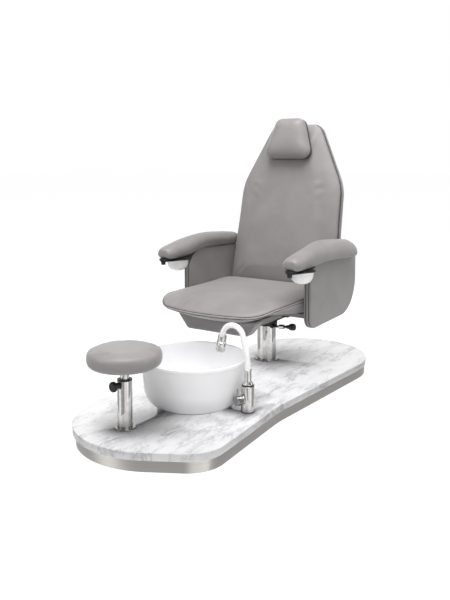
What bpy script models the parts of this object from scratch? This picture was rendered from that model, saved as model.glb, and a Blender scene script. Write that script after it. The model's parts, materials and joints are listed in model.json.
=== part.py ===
"""Podiatry chair on a marble platform with a foot bowl, a tap and a round footrest.

Metres, +Z up. The origin is on the floor under the chair's column.
The chair faces -Y and +X is the sitter's left.
"""

import math

import bmesh
import bpy
from mathutils import Vector

# Clearances
FIT = 0.0003
PIVOT_PLAY = 0.0005
WELD = 0.00001
# How far subdivision draws a padded edge in, so that what rests on it still touches
SOFT_SINK = 0.0008

# Sides of the round pieces, the same for those that fit together
ROUND_STEPS = 20

# Platform: a marble slab on a brushed plinth, its outline a belt round lobes and waists
PLATFORM_LENGTH = 1.634
BASE_THICKNESS = 0.012
PLINTH_HEIGHT = 0.040
PLINTH_WALL = 0.002
PLINTH_INSET = 0.006
SLAB_THICKNESS = 0.0267
SLAB_EDGE_ROUND = 0.003
FRONT_LOBE_RADIUS = 0.315
FRONT_LOBE_X = 0.045
FRONT_LOBE_SETBACK = 0.148
FRONT_CORNER_RADIUS = 0.143
FRONT_CORNER_X = 0.236
FRONT_CORNER_SETBACK = 0.055
RIGHT_WAIST_RADIUS = 0.64
RIGHT_WAIST_X = 0.357
RIGHT_WAIST_Y = -0.53
LEFT_WAIST_RADIUS = 1.2
LEFT_WAIST_X = -0.185
LEFT_WAIST_Y = -0.30
BACK_LOBE_RADIUS = 0.289
BACK_LOBE_X = 0.119

# Chair column
COLUMN_RADIUS = 0.0445
COLUMN_WALL = 0.004
COLUMN_HEIGHT = 0.155
COLUMN_FLANGE_RADIUS = 0.0595
FLANGE_THICKNESS = 0.005
FLANGE_ROUND = 0.0015
BUSH_LIP = 0.006
BUSH_DEPTH = 0.045
PISTON_RADIUS = 0.028
PISTON_FLOOR_GAP = 0.018
SET_SCREW_RADIUS = 0.0035
SET_SCREW_DROP = 0.026
SET_SCREW_ANGLE = math.radians(-60)

# Mechanism under the seat
HUB_RADIUS = 0.040
HUB_HEIGHT = 0.070
HUB_CROWN = 0.008
HUB_CLEARANCE = 0.006
PLATE_LENGTH = 0.22
PLATE_WIDTH = 0.34
PLATE_THICKNESS = 0.006
GUSSET_WIDTH = 0.030
GUSSET_DEPTH = 0.024
GUSSET_REACH = 0.155
LEVER_SETBACK = 0.028
LEVER_DROP = 0.003
CLEVIS_REACH = 0.066
CLEVIS_WIDTH = 0.024
CLEVIS_HEIGHT = 0.022
LEVER_PIN_RADIUS = 0.003
LEVER_EYE_RADIUS = 0.009
LEVER_EYE_THICKNESS = 0.010
LEVER_ROD_RADIUS = 0.0042
LEVER_LENGTH = 0.066
LEVER_KNOB_RADIUS = 0.0135
LEVER_KNOB_LENGTH = 0.044

# Seat
SEAT_BOARD_THICKNESS = 0.018
BOARD_WING = 0.110
SEAT_HALF_WIDTH = 0.289
SEAT_FRONT = 0.550
SEAT_REAR = 0.097
SEAT_FRONT_RADIUS = 0.60
SEAT_CORNER_RADIUS = 0.15
SEAT_REAR_CORNER = 0.05
SEAT_EDGE_HEIGHT = 0.082
SEAT_CROWN = 0.029
SEAT_DROOP = 0.026
SEAT_DROOP_START = 0.400
SEAT_DROOP_LENGTH = 0.120
SEAT_UNDER_TAPER = 0.32
SEAT_UNDER_START = 0.100
SEAT_UNDER_LENGTH = 0.300
SEAT_PIPING = 0.012
APRON_SETBACK = 0.118
APRON_THICKNESS = 0.040
APRON_HEIGHT = 0.048
APRON_HALF_WIDTH = 0.150
APRON_FLARE = 0.038
APRON_CORNER = 0.022
APRON_CROWN = 0.004
APRON_EDGE = 0.006

# Arms
ARM_GAP = 0.006
ARM_THICKNESS = 0.034
ARM_FRONT = 0.196
ARM_REAR = 0.280
ARM_BOTTOM = 0.283
ARM_TOP = 0.576
ARM_REAR_DROP = 0.014
ARM_TOE_RADIUS = 0.050
ARM_HEEL_RADIUS = 0.165
ARM_HEEL_LIFT = 0.008
ARM_REAR_CORNER = 0.030
ARM_SHOULDER_RADIUS = 0.100
ARM_EDGE_ROUND = 0.009
ARM_CROWN = 0.003
PAD_HALF_WIDTH = 0.045
PAD_OUTSET = 0.006
PAD_REAR = 0.228
PAD_TIP = 0.388
PAD_HEIGHT = 0.065
PAD_NOSE_DROP = 0.018
PAD_NOSE_HEIGHT = 0.084
PAD_NOSE_START = -0.110
PAD_NOSE_LENGTH = 0.10
PAD_ARCH = 0.010
PAD_TILT = 0.27
PAD_SPLAY = 0.008
PAD_SPLAY_START = 0.080
PAD_SPLAY_LENGTH = 0.120

# Manicure bowls under the arm pads
TRAY_THICKNESS = 0.003
TRAY_HALF_WIDTH = 0.030
TRAY_END = 0.212
TRAY_CORNER = 0.008
HINGE_STUD_Y = 0.377
HINGE_STUD_RADIUS = 0.006
HINGE_HEAD_RADIUS = 0.010
HINGE_HEAD_HEIGHT = 0.012
CARRIER_GAP = 0.0022
CARRIER_THICKNESS = 0.0036
CARRIER_EYE_RADIUS = 0.013
CARRIER_RIM = 0.005
HAND_BOWL_RADIUS = 0.050
HAND_BOWL_DEPTH = 0.050
HAND_BOWL_WALL = 0.003
HAND_BOWL_REACH = 0.107

# Back
BACK_LEAN = math.radians(12.3)
BACK_PIVOT_Y = 0.1313
BACK_PIVOT_Z = 0.335
BACK_FOOT = 0.052
BACK_HEIGHT = 0.806
BACK_HALF_WIDTH = 0.276
BACK_FOOT_CORNER = 0.035
BACK_SHOULDER_HEIGHT = 0.4988
BACK_SHOULDER_RADIUS = 0.25
BACK_SHOULDER_HALF_WIDTH = 0.266
BACK_TOP_CORNER = 0.055
BACK_TOP_HALF_WIDTH = 0.144
BACK_SEAM_INSET = 0.002
BACK_FACE_INSET = 0.006
BACK_CUSHION_DEPTH = 0.048
BACK_SHELL_DEPTH = 0.040
BACK_SHELL_ROUND = 0.020
BACK_SHELL_BULGE = 0.005
HINGE_ROD_RADIUS = 0.006
HINGE_PLATE_THICKNESS = 0.006
HINGE_EYE_RADIUS = 0.014
HINGE_SPREAD = 0.100
HINGE_LEAF_WIDTH = 0.026
HINGE_LEAF_THICKNESS = 0.012
PILLOW_RISE = 0.018
PILLOW_HEIGHT = 0.209
PILLOW_HALF_WIDTH = 0.121
PILLOW_TOP_HALF_WIDTH = 0.078
PILLOW_CORNER = 0.042
PILLOW_EDGE_INSET = 0.004
PILLOW_FACE_INSET = 0.010
PILLOW_DEPTH = 0.072

# Foot bowl
BOWL_X = 0.050
BOWL_Y = -0.661
BOWL_RIM_RADIUS = 0.2077
BOWL_BASE_RADIUS = 0.146
BOWL_HEIGHT = 0.1795
BOWL_FLANK_RADIUS = 0.197
BOWL_FLANK_HEIGHT = 0.088
BOWL_WALL = 0.008
BOWL_FLOOR = 0.009
GASKET_THICKNESS = 0.003
WASTE_BORE = 0.0165
WASTE_WALL = 0.004
WASTE_FLANGE_RADIUS = 0.032
WASTE_FLANGE_THICKNESS = 0.003
WASTE_TAIL_GAP = 0.004
NUT_WALL = 0.012
NUT_HEIGHT = 0.010
NUT_ROOM = 0.010
PLUG_RADIUS = 0.027
PLUG_THICKNESS = 0.006
PLUG_STEM_RADIUS = 0.005
PLUG_STEM_LENGTH = 0.030

# Tap
TAP_X = 0.2834
TAP_Y = -0.642
TAP_RADIUS = 0.0247
TAP_HEIGHT = 0.095
TAP_SHANK_RADIUS = 0.012
TAP_SEAL_THICKNESS = 0.003
TAP_RING_THICKNESS = 0.005
COLLAR_CONE_HEIGHT = 0.013
COLLAR_LENGTH = 0.043
COLLAR_RADIUS = 0.0135
COLLAR_SOCKET = 0.012
COLLAR_BAND = 0.004
COLLAR_STEP = 0.002
SPOUT_RADIUS = 0.0105
SPOUT_RISE = 0.158
SPOUT_REACH = 0.1121
SPOUT_DROP = 0.044
CROOK_RADIUS = 0.0463
CROOK_RISE = 0.047
SPRAY_TILT = math.radians(10.5)
SPRAY_RADIUS = 0.0168
SPRAY_LENGTH = 0.062
SPRAY_SOCKET = 0.010
SPRAY_NECK = 0.006
SPRAY_SHOULDER = 0.022
SPRAY_STEP = 0.004
NOZZLE_THICKNESS = 0.004
MIXER_ANGLE = math.radians(248)
MIXER_HEIGHT = 0.046
MIXER_RADIUS = 0.016
MIXER_BOSS_RADIUS = 0.0135
MIXER_BOSS_LENGTH = 0.005
MIXER_LENGTH = 0.025
MIXER_PIN_RADIUS = 0.0024
MIXER_PIN_HEIGHT = 0.030
MIXER_PIN_SEAT = 0.005

# Footrest
FOOT_Y = -1.008
POST_RADIUS = 0.0265
POST_WALL = 0.003
POST_HEIGHT = 0.1706
POST_FLANGE_RADIUS = 0.040
POST_BUSH_LIP = 0.004
POST_BUSH_DEPTH = 0.008
STEM_RADIUS = 0.016
STEM_SHOWN = 0.028
STEM_LENGTH = 0.150
FOOT_PLATE_RADIUS = 0.055
FOOT_PLATE_THICKNESS = 0.016
FOOT_PLATE_RIM = 0.004
FOOT_PLATE_STEP = 0.002
FOOT_PAD_RADIUS = 0.1315
FOOT_PAD_THICKNESS = 0.067
CLAMP_ANGLE = math.radians(258)
CLAMP_DROP = 0.0145
BOSS_RADIUS = 0.011
BOSS_LENGTH = 0.014
CLAMP_SCREW_RADIUS = 0.004
CLAMP_KNOB_RADIUS = 0.0185
CLAMP_KNOB_LENGTH = 0.016

# Heights and places that follow from the sizes above
SLAB_BOTTOM = PLINTH_HEIGHT + FIT
SLAB_TOP = SLAB_BOTTOM + SLAB_THICKNESS
ON_SLAB = SLAB_TOP + FIT
UNDER_SLAB = SLAB_BOTTOM - FIT
ON_BASE = BASE_THICKNESS + FIT
COLUMN_TOP = SLAB_TOP + COLUMN_HEIGHT
HUB_BOTTOM = COLUMN_TOP + FIT + BUSH_LIP + HUB_CLEARANCE
HUB_TOP = HUB_BOTTOM + HUB_HEIGHT
PLATE_BOTTOM = HUB_TOP + FIT
BOARD_BOTTOM = PLATE_BOTTOM + PLATE_THICKNESS + FIT
CUSHION_BOTTOM = BOARD_BOTTOM + SEAT_BOARD_THICKNESS + FIT
ARM_INNER = SEAT_HALF_WIDTH + ARM_GAP
ARM_OUTER = ARM_INNER + ARM_THICKNESS
ARM_MIDDLE = (ARM_INNER + ARM_OUTER) / 2
PAD_X = ARM_MIDDLE + PAD_OUTSET
PAD_BOTTOM = ARM_TOP + FIT - SOFT_SINK
NOSE_BOTTOM = PAD_BOTTOM - PAD_NOSE_DROP
TRAY_BOTTOM = NOSE_BOTTOM - FIT - TRAY_THICKNESS
CARRIER_TOP = TRAY_BOTTOM - CARRIER_GAP
CARRIER_BOTTOM = CARRIER_TOP - CARRIER_THICKNESS
HAND_BOWL_Y = -HINGE_STUD_Y + HAND_BOWL_REACH
APRON_FRONT_Y = -SEAT_FRONT + APRON_SETBACK
BOWL_BOTTOM = ON_SLAB + GASKET_THICKNESS + FIT
BOWL_TOP = BOWL_BOTTOM + BOWL_HEIGHT
WASTE_RADIUS = WASTE_BORE + WASTE_WALL
WASTE_TOP = BOWL_BOTTOM + BOWL_FLOOR + FIT + WASTE_FLANGE_THICKNESS
TAP_BOTTOM = ON_SLAB + TAP_SEAL_THICKNESS + FIT
TAP_TOP = TAP_BOTTOM + TAP_HEIGHT
COLLAR_BOTTOM = TAP_TOP + 2 * FIT + TAP_RING_THICKNESS
COLLAR_TOP = COLLAR_BOTTOM + COLLAR_CONE_HEIGHT + COLLAR_LENGTH
SPOUT_START = COLLAR_TOP - COLLAR_SOCKET + FIT
SPOUT_TOP = COLLAR_TOP + SPOUT_RISE
SPOUT_END_X = TAP_X - SPOUT_REACH
SPOUT_END_Z = SPOUT_TOP - SPOUT_DROP
MIXER_Z = TAP_BOTTOM + MIXER_HEIGHT
MIXER_START = TAP_RADIUS + MIXER_BOSS_LENGTH + FIT
POST_TOP = SLAB_TOP + POST_HEIGHT
STEM_TOP = POST_TOP + FIT + POST_BUSH_LIP + STEM_SHOWN
FOOT_PLATE_BOTTOM = STEM_TOP + FIT
FOOT_PAD_BOTTOM = FOOT_PLATE_BOTTOM + FOOT_PLATE_THICKNESS + FIT
CLAMP_Z = POST_TOP - CLAMP_DROP
LEVER_Y = -LEVER_SETBACK - CLEVIS_WIDTH / 2 - FIT - LEVER_EYE_THICKNESS / 2
LEVER_Z = HUB_BOTTOM + LEVER_DROP
LEVER_X = CLEVIS_REACH - CLEVIS_HEIGHT / 2
BACK_LOBE_Y = FOOT_Y + FRONT_LOBE_SETBACK - FRONT_LOBE_RADIUS + PLATFORM_LENGTH - BACK_LOBE_RADIUS
PILLOW_FOOT = BACK_FOOT + BACK_HEIGHT + PILLOW_RISE - PILLOW_HEIGHT
BACK_PIVOT = Vector((0, BACK_PIVOT_Y, BACK_PIVOT_Z))
BACK_UP = Vector((0, math.sin(BACK_LEAN), math.cos(BACK_LEAN)))
BACK_OUT = Vector((0, -math.cos(BACK_LEAN), math.sin(BACK_LEAN)))

# The bodies that move, each with its parent and a point on its axis
BODIES = {
    "platform": (None, (0, 0, 0)),
    "lift": ("platform", (0, 0, 0)),
    "seat": ("lift", (0, 0, 0)),
    "back": ("seat", tuple(BACK_PIVOT)),
    "pillow": ("back", tuple(BACK_PIVOT)),
    "lever": ("seat", (LEVER_X, LEVER_Y, LEVER_Z)),
    "left_hand_bowl": ("seat", (PAD_X, -HINGE_STUD_Y, CARRIER_TOP)),
    "right_hand_bowl": ("seat", (-PAD_X, -HINGE_STUD_Y, CARRIER_TOP)),
    "footrest_lift": ("platform", (0, FOOT_Y, 0)),
    "footrest_top": ("footrest_lift", (0, FOOT_Y, 0)),
    "clamp": ("platform", (0, FOOT_Y, CLAMP_Z)),
    "spout_swivel": ("platform", (TAP_X, TAP_Y, 0)),
    "spray": ("spout_swivel", (SPOUT_END_X, TAP_Y, SPOUT_END_Z)),
    "mixer": ("platform", (TAP_X, TAP_Y, MIXER_Z)),
    "plug": ("platform", (BOWL_X, BOWL_Y, 0)),
}

# Finishes: colour, roughness and metallic value
FINISHES = {
    "marble": ((0.80, 0.80, 0.81), 0.12, 0.0),
    "brushed_steel": ((0.47, 0.45, 0.43), 0.38, 1.0),
    "chrome": ((0.82, 0.81, 0.80), 0.08, 1.0),
    "upholstery": ((0.30, 0.28, 0.28), 0.62, 0.0),
    "black_plastic": ((0.015, 0.015, 0.015), 0.45, 0.0),
    "black_steel": ((0.02, 0.02, 0.02), 0.5, 0.6),
    "white_ceramic": ((0.82, 0.82, 0.83), 0.15, 0.0),
    "white_plastic": ((0.83, 0.83, 0.82), 0.3, 0.0),
    "rubber": ((0.03, 0.03, 0.03), 0.8, 0.0),
    "plywood": ((0.45, 0.33, 0.20), 0.7, 0.0),
}


def clear_scene():
    for obj in list(bpy.data.objects):
        bpy.data.objects.remove(obj, do_unlink=True)


def new_collection(name):
    collection = bpy.data.collections.new(name)
    bpy.context.scene.collection.children.link(collection)
    return collection


def make_finishes():
    made = {}
    for name, (colour, roughness, metallic) in FINISHES.items():
        finish = bpy.data.materials.new(name)
        finish.use_nodes = True
        shader = finish.node_tree.nodes["Principled BSDF"]
        shader.inputs["Base Color"].default_value = (*colour, 1)
        shader.inputs["Roughness"].default_value = roughness
        shader.inputs["Metallic"].default_value = metallic
        made[name] = finish
    return made


def make_bodies(collection):
    """An empty on each moving body's axis, parented as the bodies are."""
    made = {}
    for name, (parent, origin) in BODIES.items():
        empty = bpy.data.objects.new("body_" + name, None)
        collection.objects.link(empty)
        start = Vector((0, 0, 0))
        if parent:
            empty.parent = made[parent]
            start = Vector(BODIES[parent][1])
        empty.location = Vector(origin) - start
        made[name] = empty
    return made


clear_scene()
PARTS = new_collection("podiatry_chair")
CUTTERS = new_collection("cutters")
MATERIALS = make_finishes()
EMPTIES = make_bodies(PARTS)


def place(name, data, body, finish, at=(0, 0, 0), turn=(0, 0, 0)):
    """Adds an object with world position at, under its body's empty."""
    obj = bpy.data.objects.new(name, data)
    PARTS.objects.link(obj)
    obj.parent = EMPTIES[body]
    obj.location = Vector(at) - Vector(BODIES[body][1])
    obj.rotation_euler = turn
    data.materials.append(MATERIALS[finish])
    return obj


def as_cutter(obj):
    """Moves an object to the cutters' collection, where it isn't part of the chair."""
    PARTS.objects.unlink(obj)
    CUTTERS.objects.link(obj)
    obj.hide_render = True
    obj.display_type = "WIRE"
    return obj


def cut(obj, cutter, operation="DIFFERENCE"):
    boolean = obj.modifiers.new(operation.lower(), "BOOLEAN")
    boolean.operation = operation
    boolean.object = as_cutter(cutter)
    return obj


def mesh_from(bm, name):
    """A mesh with outward faces, smooth where it is round."""
    bmesh.ops.recalc_face_normals(bm, faces=bm.faces)
    mesh = bpy.data.meshes.new(name)
    bm.to_mesh(mesh)
    bm.free()
    mesh.shade_smooth()
    mesh.set_sharp_from_angle(angle=math.radians(40))
    return mesh


def turned(name, body, finish, profile, at=(0, 0, 0), turn=(0, 0, 0), steps=ROUND_STEPS, ring=True):
    """A profile of (radius, height) points, down its outer side, screwed once round Z."""
    mesh = bpy.data.meshes.new(name)
    points = [(radius, 0, height) for radius, height in profile]
    edges = [(i, i + 1) for i in range(len(points) - 1)]
    if ring:
        edges.append((len(points) - 1, 0))
    mesh.from_pydata(points, edges, [])
    obj = place(name, mesh, body, finish, at, turn)
    screw = obj.modifiers.new("screw", "SCREW")
    screw.steps = steps
    screw.render_steps = steps
    screw.use_merge_vertices = True
    screw.merge_threshold = WELD
    screw.use_smooth_shade = True
    return obj


def ring_profile(outer, inner, bottom, top):
    return [(outer, top), (outer, bottom), (inner, bottom), (inner, top)]


def rod(name, body, finish, radius, start, end, sides=ROUND_STEPS):
    """A round bar from start to end."""
    start, end = Vector(start), Vector(end)
    bm = bmesh.new()
    bmesh.ops.create_cone(
        bm, cap_ends=True, segments=sides, radius1=radius, radius2=radius, depth=(end - start).length
    )
    turn = (end - start).to_track_quat("Z", "Y").to_euler()
    return place(name, mesh_from(bm, name), body, finish, (start + end) / 2, turn)


def block(name, body, finish, low, high, bevel=0.0):
    """A box between two corners, with its edges eased by bevel."""
    low, high = Vector(low), Vector(high)
    bm = bmesh.new()
    bmesh.ops.create_cube(bm, size=1)
    bmesh.ops.scale(bm, vec=high - low, verts=bm.verts)
    if bevel:
        bmesh.ops.bevel(bm, geom=bm.edges, offset=bevel, segments=1, affect="EDGES")
    return place(name, mesh_from(bm, name), body, finish, (low + high) / 2)


def belt(pulleys, inset=0.0, arc_points=5):
    """The outline of a belt round pulleys (x, y, radius, side), counter-clockwise.

    A pulley with side 1 lies inside the belt and one with side -1 outside it, where it draws a waist in.
    """
    centres = [Vector((x, y)) for x, y, _, _ in pulleys]
    reach = [side * radius - inset for _, _, radius, side in pulleys]
    count = len(pulleys)
    slack = 0.01
    headings = []
    for i in range(count):
        j = (i + 1) % count
        span = centres[j] - centres[i]
        slant = (reach[i] - reach[j]) / span.length
        headings.append(math.atan2(span.y, span.x) + math.asin(max(-1.0, min(1.0, slant))))
    points = []
    for i in range(count):
        side = pulleys[i][3]
        turn = side * ((side * (headings[i] - headings[i - 1]) + slack) % math.tau - slack)
        for k in range(arc_points):
            angle = headings[i - 1] - math.pi / 2 + turn * k / (arc_points - 1)
            points.append(centres[i] + reach[i] * Vector((math.cos(angle), math.sin(angle))))
    return points


def circle(centre, radius, count=ROUND_STEPS):
    angles = [math.tau * k / count for k in range(count)]
    return [Vector((centre[0] + radius * math.cos(a), centre[1] + radius * math.sin(a))) for a in angles]


def plate(name, body, finish, outline, holes, bottom, thickness, edge_round=0.0):
    """A flat piece with holes, cut from sheet and lying level with its underside at bottom."""
    curve = bpy.data.curves.new(name, "CURVE")
    curve.dimensions = "2D"
    curve.fill_mode = "BOTH"
    curve.extrude = thickness / 2 - edge_round
    curve.bevel_depth = edge_round
    curve.bevel_resolution = 0
    curve.offset = -edge_round
    for loop in [outline] + holes:
        spline = curve.splines.new("POLY")
        spline.points.add(len(loop) - 1)
        spline.use_cyclic_u = True
        for point, (x, y) in zip(spline.points, loop):
            point.co = (x, y, 0, 1)
    return place(name, curve, body, finish, (0, 0, bottom + thickness / 2))


def loft(name, body, finish, rings, levels=1):
    """A soft form: a cage through rings of equal count, closed at both ends and subdivided."""
    bm = bmesh.new()
    loops = [[bm.verts.new(point) for point in ring] for ring in rings]
    count = len(loops[0])
    for low, high in zip(loops, loops[1:]):
        for i in range(count):
            j = (i + 1) % count
            bm.faces.new((low[i], low[j], high[j], high[i]))
    bm.faces.new(loops[0][::-1])
    bm.faces.new(loops[-1])
    origin = Vector(BODIES[body][1])
    bmesh.ops.translate(bm, vec=-origin, verts=bm.verts)
    obj = place(name, mesh_from(bm, name), body, finish, origin)
    if levels:
        subdivision = obj.modifiers.new("subdivision", "SUBSURF")
        subdivision.levels = levels
        subdivision.render_levels = levels
    return obj


def shrunk(points, share, centre):
    """An outline drawn towards a centre."""
    return [Vector(centre) + (point - Vector(centre)) * share for point in points]


def ease(value):
    """Goes smoothly from 0 to 1 as value does."""
    value = max(0.0, min(1.0, value))
    return value * value * (3 - 2 * value)


def flat_angle(angle):
    return Vector((math.cos(angle), math.sin(angle), 0))


def platform_pulleys():
    return [
        (FRONT_LOBE_X, FOOT_Y + FRONT_LOBE_SETBACK, FRONT_LOBE_RADIUS, 1),
        (FRONT_CORNER_X, FOOT_Y + FRONT_CORNER_SETBACK, FRONT_CORNER_RADIUS, 1),
        (RIGHT_WAIST_X + RIGHT_WAIST_RADIUS, RIGHT_WAIST_Y, RIGHT_WAIST_RADIUS, -1),
        (BACK_LOBE_X, BACK_LOBE_Y, BACK_LOBE_RADIUS, 1),
        (LEFT_WAIST_X - LEFT_WAIST_RADIUS, LEFT_WAIST_Y, LEFT_WAIST_RADIUS, -1),
    ]


def build_platform():
    pulleys = platform_pulleys()
    arc = 8
    wall_inset = PLINTH_INSET + PLINTH_WALL
    inner = belt(pulleys, wall_inset + FIT, arc)
    bowl, tap, foot = (BOWL_X, BOWL_Y), (TAP_X, TAP_Y), (0, FOOT_Y)
    plate("base_board", "platform", "plywood", inner, [], 0, BASE_THICKNESS)
    plinth_inner = belt(pulleys, wall_inset, arc)
    plate("plinth_band", "platform", "brushed_steel", belt(pulleys, PLINTH_INSET, arc), [plinth_inner],
          0, PLINTH_HEIGHT)
    core_holes = [
        circle((0, 0), COLUMN_RADIUS + FIT),
        circle(foot, POST_RADIUS + FIT),
        circle(bowl, WASTE_RADIUS + NUT_WALL + NUT_ROOM),
        circle(tap, TAP_SHANK_RADIUS + NUT_WALL + NUT_ROOM),
    ]
    plate("platform_core", "platform", "plywood", inner, core_holes, ON_BASE, PLINTH_HEIGHT - ON_BASE)
    slab_holes = [
        circle((0, 0), COLUMN_RADIUS + FIT + SLAB_EDGE_ROUND),
        circle(foot, POST_RADIUS + FIT + SLAB_EDGE_ROUND),
        circle(bowl, WASTE_RADIUS + FIT + SLAB_EDGE_ROUND),
        circle(tap, TAP_SHANK_RADIUS + FIT + SLAB_EDGE_ROUND),
    ]
    plate("marble_slab", "platform", "marble", belt(pulleys, 0, arc), slab_holes, SLAB_BOTTOM, SLAB_THICKNESS,
          SLAB_EDGE_ROUND)


def flange(name, radius, bore, at):
    """A turned foot ring whose side slopes a little."""
    top = FLANGE_THICKNESS
    profile = [(radius - FLANGE_ROUND, top), (radius, 0), (bore, 0), (bore, top)]
    turned(name, "platform", "chrome", profile, at)


def bush(name, body, tube_radius, tube_wall, bore, depth, lip, at):
    """A black liner in a tube's mouth, with a lip on the tube's end."""
    inside = tube_radius - tube_wall - FIT
    profile = [
        (tube_radius - FLANGE_ROUND, FIT + lip),
        (tube_radius, FIT + lip - FLANGE_ROUND),
        (tube_radius, FIT),
        (inside, FIT),
        (inside, -depth),
        (bore, -depth),
        (bore, FIT + lip),
    ]
    turned(name, body, "black_plastic", profile, at)


def build_column():
    inner = COLUMN_RADIUS - COLUMN_WALL
    walls = ring_profile(COLUMN_RADIUS, inner, ON_BASE, COLUMN_TOP)
    tube = turned("column_tube", "platform", "chrome", walls)
    flange("column_flange", COLUMN_FLANGE_RADIUS, COLUMN_RADIUS + FIT, (0, 0, ON_SLAB))
    bush("column_bush", "platform", COLUMN_RADIUS, COLUMN_WALL, PISTON_RADIUS + FIT, BUSH_DEPTH, BUSH_LIP,
         (0, 0, COLUMN_TOP))
    outward = flat_angle(SET_SCREW_ANGLE)
    height = Vector((0, 0, COLUMN_TOP - SET_SCREW_DROP))
    hole = rod("set_screw_hole", "platform", "black_steel", SET_SCREW_RADIUS + FIT,
               outward * (inner - 2 * COLUMN_WALL) + height,
               outward * (COLUMN_RADIUS + COLUMN_WALL) + height, 12)
    cut(tube, hole)
    rod("column_set_screw", "platform", "black_steel", SET_SCREW_RADIUS,
        outward * inner + height, outward * (COLUMN_RADIUS - FLANGE_ROUND) + height, 12)
    rod("column_piston", "lift", "chrome", PISTON_RADIUS, (0, 0, ON_BASE + PISTON_FLOOR_GAP),
        (0, 0, HUB_TOP - HUB_CROWN - FIT))


def build_mechanism():
    # A many-sided bore is wider at its corners, so that it clears the piston all the way round
    bore = (PISTON_RADIUS + FIT) / math.cos(math.pi / ROUND_STEPS)
    hub = [(0, HUB_TOP), (HUB_RADIUS, HUB_TOP), (HUB_RADIUS, HUB_BOTTOM), (bore, HUB_BOTTOM),
           (bore, HUB_TOP - HUB_CROWN), (0, HUB_TOP - HUB_CROWN)]
    turned("seat_hub", "seat", "black_steel", hub, ring=False)
    block("mechanism_plate", "seat", "black_steel", (-PLATE_WIDTH / 2, -PLATE_LENGTH / 2, PLATE_BOTTOM),
          (PLATE_WIDTH / 2, PLATE_LENGTH / 2, PLATE_BOTTOM + PLATE_THICKNESS))
    for name, side in (("left", 1), ("right", -1)):
        build_gusset("support_arm_" + name, side)
    build_lever()


def build_gusset(name, side):
    """A slanting bar from the hub's foot up to the mechanism plate."""
    near = HUB_RADIUS + FIT
    top = PLATE_BOTTOM - FIT
    low = HUB_BOTTOM + GUSSET_DEPTH / 2
    corners = [(near, low), (GUSSET_REACH, top), (GUSSET_REACH - GUSSET_DEPTH, top), (near, low + GUSSET_DEPTH)]
    rings = [[Vector((side * x, y, z)) for x, z in corners] for y in (-GUSSET_WIDTH / 2, GUSSET_WIDTH / 2)]
    loft(name, "seat", "black_steel", rings, levels=0)


def build_lever():
    half_width, half_height = CLEVIS_WIDTH / 2, CLEVIS_HEIGHT / 2
    clevis = block("lever_clevis", "seat", "black_steel",
                   (HUB_RADIUS / 2, -LEVER_SETBACK - half_width, LEVER_Z - half_height / 2),
                   (CLEVIS_REACH, -LEVER_SETBACK + half_width, LEVER_Z + CLEVIS_HEIGHT))
    hub_room = rod("hub_room", "seat", "black_steel", HUB_RADIUS + FIT, (0, 0, HUB_BOTTOM - HUB_HEIGHT),
                   (0, 0, HUB_TOP + HUB_HEIGHT))
    cut(clevis, hub_room)
    pivot = Vector((LEVER_X, LEVER_Y, LEVER_Z))
    half_eye = LEVER_EYE_THICKNESS / 2
    across = Vector((0, 1, 0))
    pin = rod("lever_pin", "seat", "black_steel", LEVER_PIN_RADIUS, pivot - across * half_eye,
              pivot + across * (half_eye + half_width), 12)
    cut(clevis, pin, "UNION")
    eye = rod("lever_rod", "lever", "chrome", LEVER_EYE_RADIUS, pivot - across * half_eye,
              pivot + across * half_eye, 16)
    tip = pivot + Vector((LEVER_LENGTH, 0, 0))
    arm = rod("lever_arm", "lever", "chrome", LEVER_ROD_RADIUS,
              pivot + Vector((LEVER_EYE_RADIUS / 2, 0, 0)), tip, 12)
    cut(eye, arm, "UNION")
    bore = rod("lever_bore", "lever", "chrome", LEVER_PIN_RADIUS + PIVOT_PLAY,
               pivot - across * LEVER_EYE_RADIUS,
               pivot + across * LEVER_EYE_RADIUS, 12)
    cut(eye, bore)
    radius, length = LEVER_KNOB_RADIUS, LEVER_KNOB_LENGTH
    profile = [(0, length), (radius * 0.7, length), (radius, length * 0.85), (radius, length * 0.55),
               (radius * 0.72, length * 0.3), (radius * 0.72, 0), (0, 0)]
    turned("lever_knob", "lever", "black_plastic", profile, tip + Vector((FIT, 0, 0)), (0, math.pi / 2, 0), 16,
           ring=False)


def seat_pulleys():
    """Front arc, two front corners inside it and two rear corners, running counter-clockwise."""
    corner_x = SEAT_HALF_WIDTH - SEAT_CORNER_RADIUS
    arc_y = SEAT_FRONT_RADIUS - SEAT_FRONT
    corner_y = arc_y - math.sqrt((SEAT_FRONT_RADIUS - SEAT_CORNER_RADIUS) ** 2 - corner_x**2)
    rear_x, rear_y = SEAT_HALF_WIDTH - SEAT_REAR_CORNER, SEAT_REAR - SEAT_REAR_CORNER
    return [
        (0, arc_y, SEAT_FRONT_RADIUS, 1),
        (corner_x, corner_y, SEAT_CORNER_RADIUS, 1),
        (rear_x, rear_y, SEAT_REAR_CORNER, 1),
        (-rear_x, rear_y, SEAT_REAR_CORNER, 1),
        (-corner_x, corner_y, SEAT_CORNER_RADIUS, 1),
    ]


def seat_droop(y):
    """How far the cushion's edge hangs lower towards the front."""
    return SEAT_DROOP * ease((-y - SEAT_DROOP_START) / SEAT_DROOP_LENGTH)


def under_taper(y):
    """How much narrower the cushion's underside gets towards the front, where the apron carries it."""
    return 1 - SEAT_UNDER_TAPER * ease((-y - SEAT_UNDER_START) / SEAT_UNDER_LENGTH)


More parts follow.
